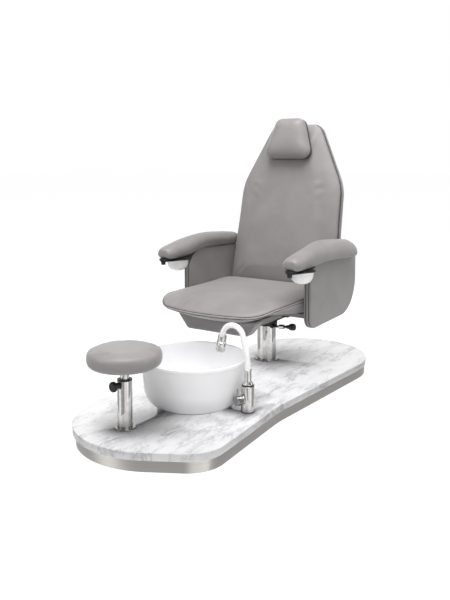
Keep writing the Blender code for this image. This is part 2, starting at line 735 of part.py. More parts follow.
def build_seat():
    board_front = APRON_FRONT_Y + APRON_THICKNESS + FIT
    board_rear = SEAT_REAR - SEAT_REAR_CORNER
    wing, tongue = ARM_INNER - FIT, APRON_HALF_WIDTH
    right_side = [(tongue, board_front), (tongue, -BOARD_WING), (wing, -BOARD_WING), (wing, board_rear)]
    board = right_side + [(-x, y) for x, y in right_side[::-1]]
    plate("seat_board", "seat", "plywood", board, [], BOARD_BOTTOM, SEAT_BOARD_THICKNESS)
    pulleys = seat_pulleys()
    edge = CUSHION_BOTTOM + SEAT_EDGE_HEIGHT
    middle = (0, (SEAT_REAR - SEAT_FRONT) / 2)
    outline = belt(pulleys)

    def ring(points, height, droop_share):
        return [Vector((p.x, p.y, height - droop_share * seat_droop(p.y))) for p in points]

    def drawn_under(across, front, rear):
        along = (rear - front) / (SEAT_REAR + SEAT_FRONT)
        return [Vector((p.x * across * under_taper(p.y), rear + (p.y - SEAT_REAR) * along)) for p in outline]

    under_front, under_rear = APRON_FRONT_Y - SEAT_PIPING, SEAT_REAR - SEAT_REAR_CORNER
    rings = [
        ring(drawn_under(0.72, under_front * 0.8, under_rear * 0.2), CUSHION_BOTTOM, 0),
        ring(drawn_under(0.90, under_front, under_rear), CUSHION_BOTTOM, 0),
        ring(belt(pulleys, SEAT_PIPING / 3), edge - SEAT_PIPING, 1),
        ring(outline, edge, 1),
        ring(belt(pulleys, SEAT_PIPING), edge + SEAT_CROWN * 0.45, 1),
        ring(shrunk(outline, 0.82, middle), edge + SEAT_CROWN * 0.88, 0.6),
        ring(shrunk(outline, 0.45, middle), edge + SEAT_CROWN, 0),
    ]
    loft("seat_cushion", "seat", "upholstery", rings)
    build_apron()


def build_apron():
    """The tapered front panel under the seat, with rounded lower corners and a slightly full face."""
    top = CUSHION_BOTTOM - FIT
    bottom = top - APRON_HEIGHT
    low_x = APRON_HALF_WIDTH - APRON_CORNER
    high_x = APRON_HALF_WIDTH + APRON_FLARE - APRON_EDGE
    pulleys = [
        (-low_x, bottom + APRON_CORNER, APRON_CORNER, 1),
        (low_x, bottom + APRON_CORNER, APRON_CORNER, 1),
        (high_x, top - APRON_EDGE, APRON_EDGE, 1),
        (-high_x, top - APRON_EDGE, APRON_EDGE, 1),
    ]
    front, back = APRON_FRONT_Y, APRON_FRONT_Y + APRON_THICKNESS
    middle = (0, (top + bottom) / 2)
    outline = belt(pulleys, 0, 3)

    def ring(points, y):
        return [Vector((p.x, y, p.y)) for p in points]

    rings = [
        ring(shrunk(outline, 0.8, middle), back),
        ring(outline, back),
        ring(outline, front + APRON_EDGE),
        ring(belt(pulleys, APRON_EDGE / 2, 3), front),
        ring(shrunk(outline, 0.6, middle), front - APRON_CROWN),
    ]
    loft("seat_apron", "seat", "upholstery", rings)


def arm_pulleys():
    """The arm panel's side outline in Y and Z."""
    return [
        (-ARM_FRONT + ARM_TOE_RADIUS, ARM_BOTTOM + ARM_TOE_RADIUS, ARM_TOE_RADIUS, 1),
        (ARM_REAR - ARM_HEEL_RADIUS, ARM_BOTTOM + ARM_HEEL_LIFT + ARM_HEEL_RADIUS, ARM_HEEL_RADIUS, 1),
        (ARM_REAR - ARM_REAR_CORNER, ARM_TOP - ARM_REAR_DROP - ARM_REAR_CORNER, ARM_REAR_CORNER, 1),
        (-ARM_FRONT + ARM_SHOULDER_RADIUS, ARM_TOP - ARM_SHOULDER_RADIUS, ARM_SHOULDER_RADIUS, 1),
    ]


def build_arm(name, side):
    pulleys = arm_pulleys()
    outline = belt(pulleys, 0, 4)
    eased = belt(pulleys, ARM_EDGE_ROUND, 4)
    middle = ((ARM_REAR - ARM_FRONT) / 2, (ARM_TOP + ARM_BOTTOM) / 2)

    def ring(points, x):
        return [Vector((side * x, p.x, p.y)) for p in points]

    rings = [
        ring(shrunk(outline, 0.85, middle), ARM_INNER),
        ring(eased, ARM_INNER),
        ring(outline, ARM_INNER + ARM_EDGE_ROUND),
        ring(outline, ARM_OUTER - ARM_EDGE_ROUND),
        ring(eased, ARM_OUTER),
        ring(shrunk(outline, 0.7, middle), ARM_OUTER + ARM_CROWN),
    ]
    loft("arm_panel_" + name, "seat", "upholstery", rings)
    build_arm_pad("arm_pad_" + name, side)
    build_hand_bowl(name, side)


def pad_section(side, y, share):
    """The arm pad's section at y: flat below, round above, drawn in by share at its ends.

    Behind the nose it slopes down outwards from where it rests on the panel, and the rear end splays outwards.
    """
    nose = ease((PAD_NOSE_START - y) / PAD_NOSE_LENGTH)
    shoulder, rear = ARM_SHOULDER_RADIUS - ARM_FRONT, ARM_REAR - ARM_REAR_CORNER
    behind = min(max((y - shoulder) / (rear - shoulder), 0), 1)
    bottom = PAD_BOTTOM - PAD_NOSE_DROP * nose - ARM_REAR_DROP * behind
    along = (PAD_REAR - y) / (PAD_REAR + PAD_TIP)
    arch = PAD_ARCH * (2 * along - 1) ** 2
    height = PAD_HEIGHT - arch + (PAD_NOSE_HEIGHT - PAD_HEIGHT) * nose
    half = PAD_HALF_WIDTH * share
    lift = height * 0.5 * (1 - share)
    shape = [(0, 0), (0.72, 0), (1.03, 0.28), (1.03, 0.66), (0.66, 1.0), (0, 1.08)]
    shape += [(-x, z) for x, z in shape[-2:0:-1]]
    centre = PAD_X + PAD_SPLAY * ease((y - PAD_SPLAY_START) / PAD_SPLAY_LENGTH)
    rest = ARM_MIDDLE + ARM_EDGE_ROUND / 2
    tilt = PAD_TILT * (1 - nose)
    section = []
    for x, z in shape:
        across = centre + half * x
        section.append(Vector((side * across, y, bottom + lift + height * share * z - tilt * (across - rest))))
    return section


def build_arm_pad(name, side):
    """Sections from the rear end to the tip: how far along each is, and its share of the full section."""
    stations = [(0, 0.60), (0.02, 0.92), (0.08, 1), (0.32, 1), (0.53, 1), (0.65, 1), (0.78, 1), (0.92, 1),
                (0.977, 0.92), (1, 0.62)]
    length = PAD_REAR + PAD_TIP
    sections = [pad_section(side, PAD_REAR - length * along, share) for along, share in stations]
    loft(name, "seat", "upholstery", sections)


def build_hand_bowl(name, side):
    """The tray under the pad's nose, its hinge stud, and the bowl that swings out on a carrier."""
    x, stud_y, bowl_y = side * PAD_X, -HINGE_STUD_Y, HAND_BOWL_Y
    tray_outline = belt([
        (x, stud_y, TRAY_HALF_WIDTH * 0.6, 1),
        (x + TRAY_HALF_WIDTH - TRAY_CORNER, -TRAY_END - TRAY_CORNER, TRAY_CORNER, 1),
        (x - TRAY_HALF_WIDTH + TRAY_CORNER, -TRAY_END - TRAY_CORNER, TRAY_CORNER, 1),
    ])
    flat = plate("tray_sheet_" + name, "seat", "black_plastic", tray_outline, [], TRAY_BOTTOM, TRAY_THICKNESS)
    tray = solid_copy(flat, "bowl_tray_" + name)
    head_top = CARRIER_BOTTOM - FIT
    stud = turned("stud_" + name, "seat", "black_plastic", [
        (0, TRAY_BOTTOM + TRAY_THICKNESS / 2), (HINGE_STUD_RADIUS, TRAY_BOTTOM + TRAY_THICKNESS / 2),
        (HINGE_STUD_RADIUS, head_top), (HINGE_HEAD_RADIUS, head_top),
        (HINGE_HEAD_RADIUS, head_top - HINGE_HEAD_HEIGHT), (0, head_top - HINGE_HEAD_HEIGHT)],
        (x, stud_y, 0), steps=16, ring=False)
    cut(tray, stud, "UNION")
    body = name + "_hand_bowl"
    hole = HAND_BOWL_RADIUS - HAND_BOWL_WALL
    carrier_outline = belt([
        (x, bowl_y, HAND_BOWL_RADIUS + CARRIER_RIM, 1),
        (x, stud_y, CARRIER_EYE_RADIUS, 1),
    ], 0, 14)
    plate("bowl_carrier_" + name, body, "black_plastic", carrier_outline,
          [circle((x, stud_y), HINGE_STUD_RADIUS + PIVOT_PLAY, 16), circle((x, bowl_y), hole + FIT)],
          CARRIER_BOTTOM, CARRIER_THICKNESS)
    lip = CARRIER_TOP + FIT
    wall = HAND_BOWL_WALL
    drop = HAND_BOWL_DEPTH
    inner = hole - wall
    turned("hand_bowl_" + name, body, "white_plastic", [
        (HAND_BOWL_RADIUS, wall / 2), (HAND_BOWL_RADIUS, 0), (hole, 0),
        (hole * 0.93, -drop * 0.45), (hole * 0.72, -drop * 0.80), (hole * 0.42, -drop), (0, -drop),
        (0, wall - drop), (inner * 0.42, wall - drop), (inner * 0.72, wall - drop * 0.80),
        (inner * 0.93, -drop * 0.45), (inner, wall / 2)],
        (x, bowl_y, lip))


def solid_copy(curve_object, name):
    """A mesh object in place of a curve, with its caps welded on, so that it can be cut."""
    graph = bpy.context.evaluated_depsgraph_get()
    mesh = bpy.data.meshes.new_from_object(curve_object.evaluated_get(graph))
    bm = bmesh.new()
    bm.from_mesh(mesh)
    bmesh.ops.remove_doubles(bm, verts=bm.verts, dist=WELD)
    bmesh.ops.recalc_face_normals(bm, faces=bm.faces)
    bm.to_mesh(mesh)
    bm.free()
    obj = bpy.data.objects.new(name, mesh)
    PARTS.objects.link(obj)
    obj.parent = curve_object.parent
    obj.location = curve_object.location
    bpy.data.objects.remove(curve_object)
    return obj


def on_back(x, up, out):
    """A point of the leaning back: across, up its length and out from its seam plane."""
    return BACK_PIVOT + Vector((x, 0, 0)) + BACK_UP * up + BACK_OUT * out


def back_pulleys():
    foot_x = BACK_HALF_WIDTH - BACK_FOOT_CORNER
    foot_y = BACK_FOOT + BACK_FOOT_CORNER
    shoulder_x = BACK_SHOULDER_HALF_WIDTH - BACK_SHOULDER_RADIUS
    top_x = BACK_TOP_HALF_WIDTH - BACK_TOP_CORNER
    top_y = BACK_FOOT + BACK_HEIGHT - BACK_TOP_CORNER
    right = [
        (foot_x, foot_y, BACK_FOOT_CORNER, 1),
        (shoulder_x, BACK_SHOULDER_HEIGHT, BACK_SHOULDER_RADIUS, 1),
        (top_x, top_y, BACK_TOP_CORNER, 1),
    ]
    return right + [(-x, y, radius, side) for x, y, radius, side in right[::-1]]


def build_back():
    pulleys = back_pulleys()
    outline = belt(pulleys, 0, 3)
    middle = (0, BACK_FOOT + BACK_HEIGHT * 0.45)
    upper = (0, BACK_FOOT + BACK_HEIGHT * 0.53)

    def ring(points, out):
        return [on_back(p.x, p.y, out) for p in points]

    deep = BACK_CUSHION_DEPTH
    cushion = [
        ring(shrunk(outline, 0.85, middle), FIT),
        ring(belt(pulleys, BACK_SEAM_INSET, 3), FIT),
        ring(outline, deep * 0.25),
        ring(belt(pulleys, BACK_FACE_INSET, 3), deep * 0.62),
        ring(shrunk(outline, 0.86, middle), deep * 0.93),
        ring(shrunk(outline, 0.75, upper), deep * 0.99),
        ring(shrunk(outline, 0.62, upper), deep),
    ]
    loft("back_cushion", "back", "upholstery", cushion)
    thick = BACK_SHELL_DEPTH

    def widened(points):
        return [Vector((p.x * (1 + BACK_SHELL_BULGE / BACK_HALF_WIDTH), p.y)) for p in points]

    shell = [
        ring(shrunk(outline, 0.85, middle), 0),
        ring(outline, 0),
        ring(widened(belt(pulleys, -BACK_SEAM_INSET, 3)), -thick * 0.45),
        ring(widened(belt(pulleys, BACK_SEAM_INSET, 3)), -thick * 0.90),
        ring(belt(pulleys, BACK_SHELL_ROUND, 3), -thick),
        ring(shrunk(outline, 0.50, middle), -thick),
    ]
    loft("back_shell", "back", "upholstery", shell)
    build_back_hinge()
    build_pillow()


def build_back_hinge():
    """One rod through two eye plates on the seat board's end and two leaves on the back's foot."""
    board_end = SEAT_REAR - SEAT_REAR_CORNER
    pivot_y, pivot_z = BACK_PIVOT_Y, BACK_PIVOT_Z
    reach = HINGE_SPREAD + HINGE_LEAF_WIDTH / 2 + 2 * FIT + HINGE_PLATE_THICKNESS
    rod("hinge_rod", "seat", "brushed_steel", HINGE_ROD_RADIUS, (-reach, pivot_y, pivot_z),
        (reach, pivot_y, pivot_z), 16)
    for name, side in (("left", 1), ("right", -1)):
        inner = HINGE_SPREAD + HINGE_LEAF_WIDTH / 2 + FIT
        corner = SEAT_BOARD_THICKNESS / 6
        near = board_end + FIT + corner
        outline = belt([
            (pivot_y, pivot_z, HINGE_EYE_RADIUS, 1),
            (near, BOARD_BOTTOM + SEAT_BOARD_THICKNESS - corner, corner, 1),
            (near, BOARD_BOTTOM + corner, corner, 1),
        ], 0, 6)
        faces = (inner, inner + HINGE_PLATE_THICKNESS)
        rings = [[Vector((side * x, p.x, p.y)) for p in outline] for x in faces]
        bracket = loft("hinge_plate_" + name, "seat", "brushed_steel", rings, levels=0)
        bore = rod("plate_bore_" + name, "seat", "brushed_steel", HINGE_ROD_RADIUS + FIT,
                   (side * (inner - HINGE_PLATE_THICKNESS), pivot_y, pivot_z),
                   (side * (inner + 2 * HINGE_PLATE_THICKNESS), pivot_y, pivot_z), 16)
        cut(bracket, bore)
        build_hinge_leaf(name, side)


def build_hinge_leaf(name, side):
    """A strap from the hinge rod up to the back's foot."""
    half = HINGE_LEAF_WIDTH / 2
    out = -BACK_SHELL_DEPTH * 0.45
    end = HINGE_LEAF_THICKNESS / 6
    top = BACK_FOOT - FIT / 2 - end
    outline = belt([
        (0, 0, HINGE_EYE_RADIUS, 1),
        (out + 2 * end, top, end, 1),
        (out - 2 * end, top, end, 1),
    ], 0, 6)
    rings = [[on_back(side * (HINGE_SPREAD + x), p.y, p.x) for p in outline] for x in (-half, half)]
    leaf = loft("hinge_leaf_" + name, "back", "brushed_steel", rings, levels=0)
    bore = rod("leaf_bore_" + name, "back", "brushed_steel", HINGE_ROD_RADIUS + PIVOT_PLAY,
               on_back(side * (HINGE_SPREAD - 2 * half), 0, 0),
               on_back(side * (HINGE_SPREAD + 2 * half), 0, 0), 16)
    cut(leaf, bore)


def build_pillow():
    corner = PILLOW_CORNER
    foot, top = PILLOW_FOOT + corner, PILLOW_FOOT + PILLOW_HEIGHT - corner
    low_x, high_x = PILLOW_HALF_WIDTH - corner, PILLOW_TOP_HALF_WIDTH - corner
    corners = [(-low_x, foot), (low_x, foot), (high_x, top), (-high_x, top)]
    pulleys = [(x, up, corner, 1) for x, up in corners]
    outline = belt(pulleys, 0, 4)
    middle = (0, PILLOW_FOOT + PILLOW_HEIGHT * 0.48)
    base = BACK_CUSHION_DEPTH + FIT / 2

    def ring(points, share):
        return [on_back(p.x, p.y, base + PILLOW_DEPTH * share) for p in points]

    rings = [
        ring(shrunk(outline, 0.60, middle), 0),
        ring(shrunk(outline, 0.84, middle), 0),
        ring(belt(pulleys, PILLOW_EDGE_INSET, 4), 0.22),
        ring(outline, 0.46),
        ring(belt(pulleys, PILLOW_FACE_INSET, 4), 0.72),
        ring(shrunk(outline, 0.72, middle), 0.95),
        ring(shrunk(outline, 0.38, middle), 1.0),
    ]
    loft("head_pillow", "pillow", "upholstery", rings)


def nut(name, shank, centre):
    """A hexagon nut drawn up under the slab."""
    outline = circle(centre, shank + NUT_WALL, 6)
    hole = circle(centre, shank + FIT)
    plate(name, "platform", "brushed_steel", outline, [hole], UNDER_SLAB - NUT_HEIGHT, NUT_HEIGHT)


def build_bowl():
    at = (BOWL_X, BOWL_Y, BOWL_BOTTOM)
    wall, floor = BOWL_WALL, BOWL_FLOOR
    height, flank, rim = BOWL_HEIGHT, BOWL_FLANK_HEIGHT, BOWL_RIM_RADIUS
    hole = WASTE_RADIUS + FIT
    turn_in = BOWL_FLANK_RADIUS - BOWL_BASE_RADIUS
    arc = [math.radians(a) for a in (75, 50, 25, 0)]
    outer = [(BOWL_BASE_RADIUS + turn_in * math.sin(a), flank * (1 - math.cos(a))) for a in arc]
    inner = [(radius - wall, floor + z * (flank - floor) / flank) for radius, z in outer[::-1]]
    profile = [(rim - wall * 0.3, height), (rim, height - wall * 0.3), (rim, height - wall * 0.8)]
    profile += outer
    profile += [(hole, 0), (hole, floor)]
    profile += inner
    profile += [(rim - wall * 0.9, height - wall * 0.8), (rim - wall * 0.7, height)]
    turned("foot_bowl", "platform", "white_ceramic", profile, at, steps=36)
    gasket = ring_profile(BOWL_BASE_RADIUS, hole, ON_SLAB, ON_SLAB + GASKET_THICKNESS)
    turned("bowl_gasket", "platform", "rubber", gasket, (BOWL_X, BOWL_Y, 0), steps=28)
    flange_bottom = BOWL_BOTTOM + floor + FIT
    tail = ON_BASE + WASTE_TAIL_GAP
    turned("bowl_waste", "platform", "chrome", [
        (WASTE_FLANGE_RADIUS, WASTE_TOP), (WASTE_FLANGE_RADIUS, flange_bottom), (WASTE_RADIUS, flange_bottom),
        (WASTE_RADIUS, tail), (WASTE_BORE, tail), (WASTE_BORE, WASTE_TOP)], (BOWL_X, BOWL_Y, 0))
    nut("waste_nut", WASTE_RADIUS, (BOWL_X, BOWL_Y))
    low = WASTE_TOP + FIT
    turned("waste_plug", "plug", "chrome", [
        (0, PLUG_THICKNESS), (PLUG_RADIUS * 0.7, PLUG_THICKNESS * 0.8), (PLUG_RADIUS, PLUG_THICKNESS * 0.3),
        (PLUG_RADIUS, 0), (PLUG_STEM_RADIUS, 0), (PLUG_STEM_RADIUS, -PLUG_STEM_LENGTH), (0, -PLUG_STEM_LENGTH)],
        (BOWL_X, BOWL_Y, low), ring=False)


def spout_route():
    """Points up from the collar, leaning to the bowl, and over in a crook, in the tap's vertical plane."""
    across, rise = CROOK_RADIUS, CROOK_RISE
    middle_x = TAP_X - SPOUT_REACH + across
    middle_z = SPOUT_TOP - rise
    foot, top = COLLAR_TOP + SPOUT_RADIUS / 2, middle_z
    lean = TAP_X - middle_x - across
    points = [(TAP_X, SPOUT_START), (TAP_X, foot)]
    for share in (0.4, 0.75):
        points.append((TAP_X - lean * share**2, foot + (top - foot) * share))
    for degrees in (0, 25, 50, 75, 100, 125, 150, 172):
        angle = math.radians(degrees)
        points.append((middle_x + across * math.cos(angle), middle_z + rise * math.sin(angle)))
    along = Vector((-math.sin(SPRAY_TILT), -math.cos(SPRAY_TILT)))
    points.append(tuple(Vector((SPOUT_END_X, SPOUT_END_Z)) + along * SPRAY_SOCKET))
    return points


def build_tap():
    at = (TAP_X, TAP_Y, 0)
    shank = TAP_SHANK_RADIUS
    turned("tap_seal", "platform", "rubber",
           ring_profile(TAP_RADIUS + FLANGE_ROUND, shank + FIT, ON_SLAB, ON_SLAB + TAP_SEAL_THICKNESS), at)
    body = turned("tap_body", "platform", "chrome", [
        (0, TAP_TOP), (TAP_RADIUS - FLANGE_ROUND, TAP_TOP), (TAP_RADIUS, TAP_TOP - FLANGE_ROUND),
        (TAP_RADIUS, TAP_BOTTOM), (shank, TAP_BOTTOM), (shank, ON_BASE + WASTE_TAIL_GAP),
        (0, ON_BASE + WASTE_TAIL_GAP)], at, ring=False)
    outward = flat_angle(MIXER_ANGLE)
    centre = Vector((TAP_X, TAP_Y, MIXER_Z))
    boss_end = centre + outward * (MIXER_START - FIT)
    boss = rod("mixer_boss", "platform", "chrome", MIXER_BOSS_RADIUS, centre, boss_end)
    cut(body, boss, "UNION")
    nut("tap_nut", shank, (TAP_X, TAP_Y))
    ring_bottom = TAP_TOP + FIT
    ring_top = ring_bottom + TAP_RING_THICKNESS
    ring = ring_profile(TAP_RADIUS - FLANGE_ROUND, COLLAR_RADIUS / 2, ring_bottom, ring_top)
    turned("tap_ring", "platform", "black_plastic", ring, at)
    build_spout(at)
    build_mixer(centre, outward)


def build_spout(at):
    collar, socket = COLLAR_RADIUS, SPOUT_RADIUS + FIT
    cone_top = COLLAR_BOTTOM + COLLAR_CONE_HEIGHT
    neck, foot = collar * 0.92, TAP_RADIUS - 2 * FLANGE_ROUND
    band = COLLAR_TOP - COLLAR_BAND
    socket_floor = COLLAR_TOP - COLLAR_SOCKET
    turned("spout_collar", "spout_swivel", "chrome", [
        (collar, COLLAR_TOP), (collar, band), (neck, band - COLLAR_STEP), (neck, cone_top),
        (foot, COLLAR_BOTTOM + COLLAR_STEP), (foot, COLLAR_BOTTOM), (0, COLLAR_BOTTOM),
        (0, socket_floor), (socket, socket_floor), (socket, COLLAR_TOP)], at)
    curve = bpy.data.curves.new("spout", "CURVE")
    curve.dimensions = "3D"
    curve.bevel_depth = SPOUT_RADIUS
    curve.bevel_resolution = 2
    curve.use_fill_caps = True
    route = spout_route()
    spline = curve.splines.new("POLY")
    spline.points.add(len(route) - 1)
    for point, (x, z) in zip(spline.points, route):
        point.co = (x - TAP_X, 0, z, 1)
    place("spout", curve, "spout_swivel", "white_plastic", at)
    radius, length = SPRAY_RADIUS, SPRAY_LENGTH
    end = (SPOUT_END_X, TAP_Y, SPOUT_END_Z)
    tilt = (0, SPRAY_TILT, 0)
    face = -length + NOZZLE_THICKNESS
    turned("spray_head", "spray", "chrome", [
        (radius * 0.86, 0), (radius * 0.92, -SPRAY_NECK), (radius * 0.92, -SPRAY_SHOULDER),
        (radius, -SPRAY_SHOULDER - SPRAY_STEP), (radius, -length),
        (radius * 0.84, -length), (radius * 0.84, face), (0, face), (0, -SPRAY_SOCKET - FIT),
        (socket, -SPRAY_SOCKET - FIT), (socket, 0)], end, tilt)
    nozzle = radius * 0.84 - FIT
    turned("spray_nozzle", "spray", "black_plastic",
           [(0, face - FIT), (nozzle, face - FIT), (nozzle, -length), (0, -length)], end, tilt, ring=False)


def build_mixer(centre, outward):
    """The side cap that turns for hot and cold, with its thin pin handle standing up."""
    heading = outward.to_track_quat("Z", "Y").to_euler()
    start = centre + outward * MIXER_START
    radius, length = MIXER_RADIUS, MIXER_LENGTH
    cap = turned("mixer_cap", "mixer", "chrome", [
        (0, length), (radius - FLANGE_ROUND, length), (radius, length - FLANGE_ROUND), (radius, 0), (0, 0)],
        start, heading, ring=False)
    foot = start + outward * (length * 0.72)
    up = Vector((0, 0, 1))
    hole = rod("pin_hole", "mixer", "chrome", MIXER_PIN_RADIUS + FIT, foot + up * (radius - MIXER_PIN_SEAT),
               foot + up * 2 * radius, 12)
    cut(cap, hole)
    rod("mixer_pin", "mixer", "chrome", MIXER_PIN_RADIUS, foot + up * (radius - MIXER_PIN_SEAT + FIT),
        foot + up * (radius + MIXER_PIN_HEIGHT), 10)


def build_footrest():
    at = (0, FOOT_Y, 0)
    inner = POST_RADIUS - POST_WALL
    walls = ring_profile(POST_RADIUS, inner, ON_BASE, POST_TOP)
    post = turned("footrest_post", "platform", "chrome", walls, at)
    flange("footrest_flange", POST_FLANGE_RADIUS, POST_RADIUS + FIT, (0, FOOT_Y, ON_SLAB))
    bush("footrest_bush", "platform", POST_RADIUS, POST_WALL, STEM_RADIUS + FIT, POST_BUSH_DEPTH, POST_BUSH_LIP,
         (0, FOOT_Y, POST_TOP))
    rod("footrest_stem", "footrest_lift", "chrome", STEM_RADIUS, (0, FOOT_Y, STEM_TOP - STEM_LENGTH),
        (0, FOOT_Y, STEM_TOP))
    plate_top = FOOT_PLATE_BOTTOM + FOOT_PLATE_THICKNESS
    rim = plate_top - FOOT_PLATE_RIM
    socket = STEM_RADIUS * 1.4
    turned("footrest_plate", "footrest_top", "black_steel", [
        (0, plate_top), (FOOT_PLATE_RADIUS, plate_top), (FOOT_PLATE_RADIUS, rim),
        (socket, rim - FOOT_PLATE_STEP), (socket, FOOT_PLATE_BOTTOM), (0, FOOT_PLATE_BOTTOM)], at, ring=False)
    build_foot_pad(at)
    build_clamp(post)


def build_foot_pad(at):
    """A round pad with a full side, drawn in below and crowned above."""
    radius, thick = FOOT_PAD_RADIUS, FOOT_PAD_THICKNESS
    shape = [(0.30, 1.0), (0.66, 0.99), (0.88, 0.955), (0.975, 0.84), (1.0, 0.66), (1.0, 0.36), (0.975, 0.17),
             (0.90, 0.045), (0.76, 0.0)]
    profile = [(0, FOOT_PAD_BOTTOM + thick)]
    profile += [(radius * r, FOOT_PAD_BOTTOM + thick * h) for r, h in shape]
    profile += [(0, FOOT_PAD_BOTTOM)]
    turned("footrest_pad", "footrest_top", "upholstery", profile, at, steps=28, ring=False)


def build_clamp(post):
    """A boss on the post and the knob whose screw grips the stem."""
    outward = flat_angle(CLAMP_ANGLE)
    axis = Vector((0, FOOT_Y, CLAMP_Z))
    far = POST_RADIUS + FIT + BOSS_LENGTH
    hole = CLAMP_SCREW_RADIUS + FIT
    near_end, boss_end = axis + outward * STEM_RADIUS, axis + outward * far
    cutter_end = axis + outward * (far + BOSS_LENGTH)
    cut(post, rod("clamp_hole", "platform", "black_plastic", hole, near_end, cutter_end, 14))
    boss = rod("clamp_boss", "platform", "black_plastic", BOSS_RADIUS, near_end, boss_end, 18)
    post_foot, above_post = (0, FOOT_Y, 0), (0, FOOT_Y, POST_TOP + POST_HEIGHT)
    cut(boss, rod("post_room", "platform", "black_plastic", POST_RADIUS + FIT, post_foot, above_post))
    cut(boss, rod("boss_bore", "platform", "black_plastic", hole, axis, cutter_end, 14))
    heading = outward.to_track_quat("Z", "Y").to_euler()
    radius, length, screw = CLAMP_KNOB_RADIUS, CLAMP_KNOB_LENGTH, CLAMP_SCREW_RADIUS
    start = far + FIT
    tip = STEM_RADIUS + FIT
    turned("clamp_knob", "clamp", "black_plastic", [
        (0, start + length), (radius * 0.8, start + length), (radius, start + length * 0.8),
        (radius, start + length * 0.25), (radius * 0.85, start), (screw, start), (screw, tip), (0, tip)],
        axis, heading, 20, ring=False)


build_platform()
build_column()
build_mechanism()
build_seat()
for arm_name, arm_side in (("left", 1), ("right", -1)):
    build_arm(arm_name, arm_side)
build_back()
build_bowl()
build_tap()
build_footrest()
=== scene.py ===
"""Looks of the podiatry chair: finer surfaces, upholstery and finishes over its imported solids.

Metres, +Z up. The origin is on the floor under the chair's column.
The chair faces -Y and +X is the sitter's left.
"""

import json

import bmesh
import bpy
import numpy as np
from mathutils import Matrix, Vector
from mathutils.geometry import delaunay_2d_cdt

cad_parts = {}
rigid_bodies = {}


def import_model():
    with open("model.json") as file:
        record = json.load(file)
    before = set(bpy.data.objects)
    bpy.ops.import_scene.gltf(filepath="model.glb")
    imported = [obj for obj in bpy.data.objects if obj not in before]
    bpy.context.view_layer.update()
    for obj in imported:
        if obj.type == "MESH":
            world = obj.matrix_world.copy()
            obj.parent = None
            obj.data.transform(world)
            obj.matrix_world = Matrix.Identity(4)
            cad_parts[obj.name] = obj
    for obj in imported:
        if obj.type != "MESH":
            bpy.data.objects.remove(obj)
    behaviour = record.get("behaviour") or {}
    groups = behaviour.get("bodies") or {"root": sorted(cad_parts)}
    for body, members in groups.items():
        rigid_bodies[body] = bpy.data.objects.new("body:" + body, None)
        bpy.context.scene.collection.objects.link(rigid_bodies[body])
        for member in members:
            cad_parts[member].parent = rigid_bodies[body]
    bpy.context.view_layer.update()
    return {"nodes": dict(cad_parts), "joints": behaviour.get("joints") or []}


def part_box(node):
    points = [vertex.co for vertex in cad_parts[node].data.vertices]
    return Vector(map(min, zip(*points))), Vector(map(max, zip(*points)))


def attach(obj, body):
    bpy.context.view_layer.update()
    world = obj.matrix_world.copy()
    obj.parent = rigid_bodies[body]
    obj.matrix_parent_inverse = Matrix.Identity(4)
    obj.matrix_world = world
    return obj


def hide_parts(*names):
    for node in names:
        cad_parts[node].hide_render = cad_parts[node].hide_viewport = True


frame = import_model()
JOINTS = {joint["name"]: joint for joint in frame["joints"]}

TAU = 2 * np.pi
UP = np.array((0.0, 0.0, 1.0))
RIGHT = np.array((1.0, 0.0, 0.0))
AHEAD = np.array((0.0, -1.0, 0.0))
WELD = 1e-6
SHARP_ANGLE = np.radians(38)
ARC_STEPS = 80
LONGEST_ROUNDING = 0.45
FLUTE_START, FLUTE_FADE = 0.9, 0.08

# Camera, solved from the photograph's uprights and level edges
EYE = (1.6052, -2.8416, 1.0173)
HEADING = np.radians(32.9)
PITCH = np.radians(3.5)
LENS = 42.0
FRAME_WIDTH = 36.0
FRAME_SHIFT = -0.167

# Platform: pulleys that its outline runs round, as x, y, radius and 1 inside the belt or -1 outside it
PLATFORM = [
    (0.045, -0.860, 0.315, 1),
    (0.236, -0.953, 0.143, 1),
    (0.997, -0.53, 0.64, -1),
    (0.119, 0.170, 0.289, 1),
    (-1.385, -0.30, 1.2, -1),
]
PLATFORM_POINTS = 720
SLAB_LIP = 0.003
SLAB_SPREAD = 0.002
SLAB_SHIFT = (-0.004, 0.0)
PLINTH_INSET = 0.0075
PLINTH_WALL = 0.002
PLINTH_LIP = 0.0008

# Turned metal
EDGE = 0.0012
FINE_EDGE = 0.0006
COLUMN_WALL = 0.004
POST_WALL = 0.003
SET_SCREW_RADIUS = 0.0046
SET_SCREW_ANGLE = np.radians(-60)
SET_SCREW_HEIGHT = 0.205
# Radius and height as shares of the set screw's radius, and what is added to the height
SET_SCREW = [(0, -1, 0), (1, -1, 0), (1, 0, FINE_EDGE), (0.6, 0, FINE_EDGE), (0.5, -0.4, 0), (0, -0.4, 0)]
COLUMN_RISE = 0.0095
LINER_LIP = 0.006
HUB_NECK = 0.034
FLANGE_SLOPE = 0.0015

# Seat
SEAT_HALF_WIDTH = 0.289
SEAT_FRONT = 0.550
SEAT_REAR = 0.097
SEAT_FRONT_RADIUS = 0.60
SEAT_CORNER = 0.15
SEAT_REAR_CORNER = 0.05
SEAT_EDGE_HEIGHT = 0.082
SEAT_CROWN = 0.027
SEAT_DROOP = 0.026
SEAT_DROOP_START = 0.400
SEAT_DROOP_LENGTH = 0.120
SEAT_BAND = 0.012
SEAT_UNDER_FRONT = -0.444
SEAT_UNDER_TAPER = 0.48
SEAT_UNDER_START = 0.060
SEAT_UNDER_LENGTH = 0.280
SEAT_POINTS = 360
TRAPEZIUM_POINTS = 240
APRON_FRONT = -0.432
APRON_THICKNESS = 0.080
APRON_HALF_WIDTH = 0.160
APRON_FLARE = 0.038
APRON_CORNER = 0.022
APRON_EDGE = 0.006
APRON_CROWN = 0.004
APRON_TUCK = 0.022
UNDERSIDE_FRONT = -0.360
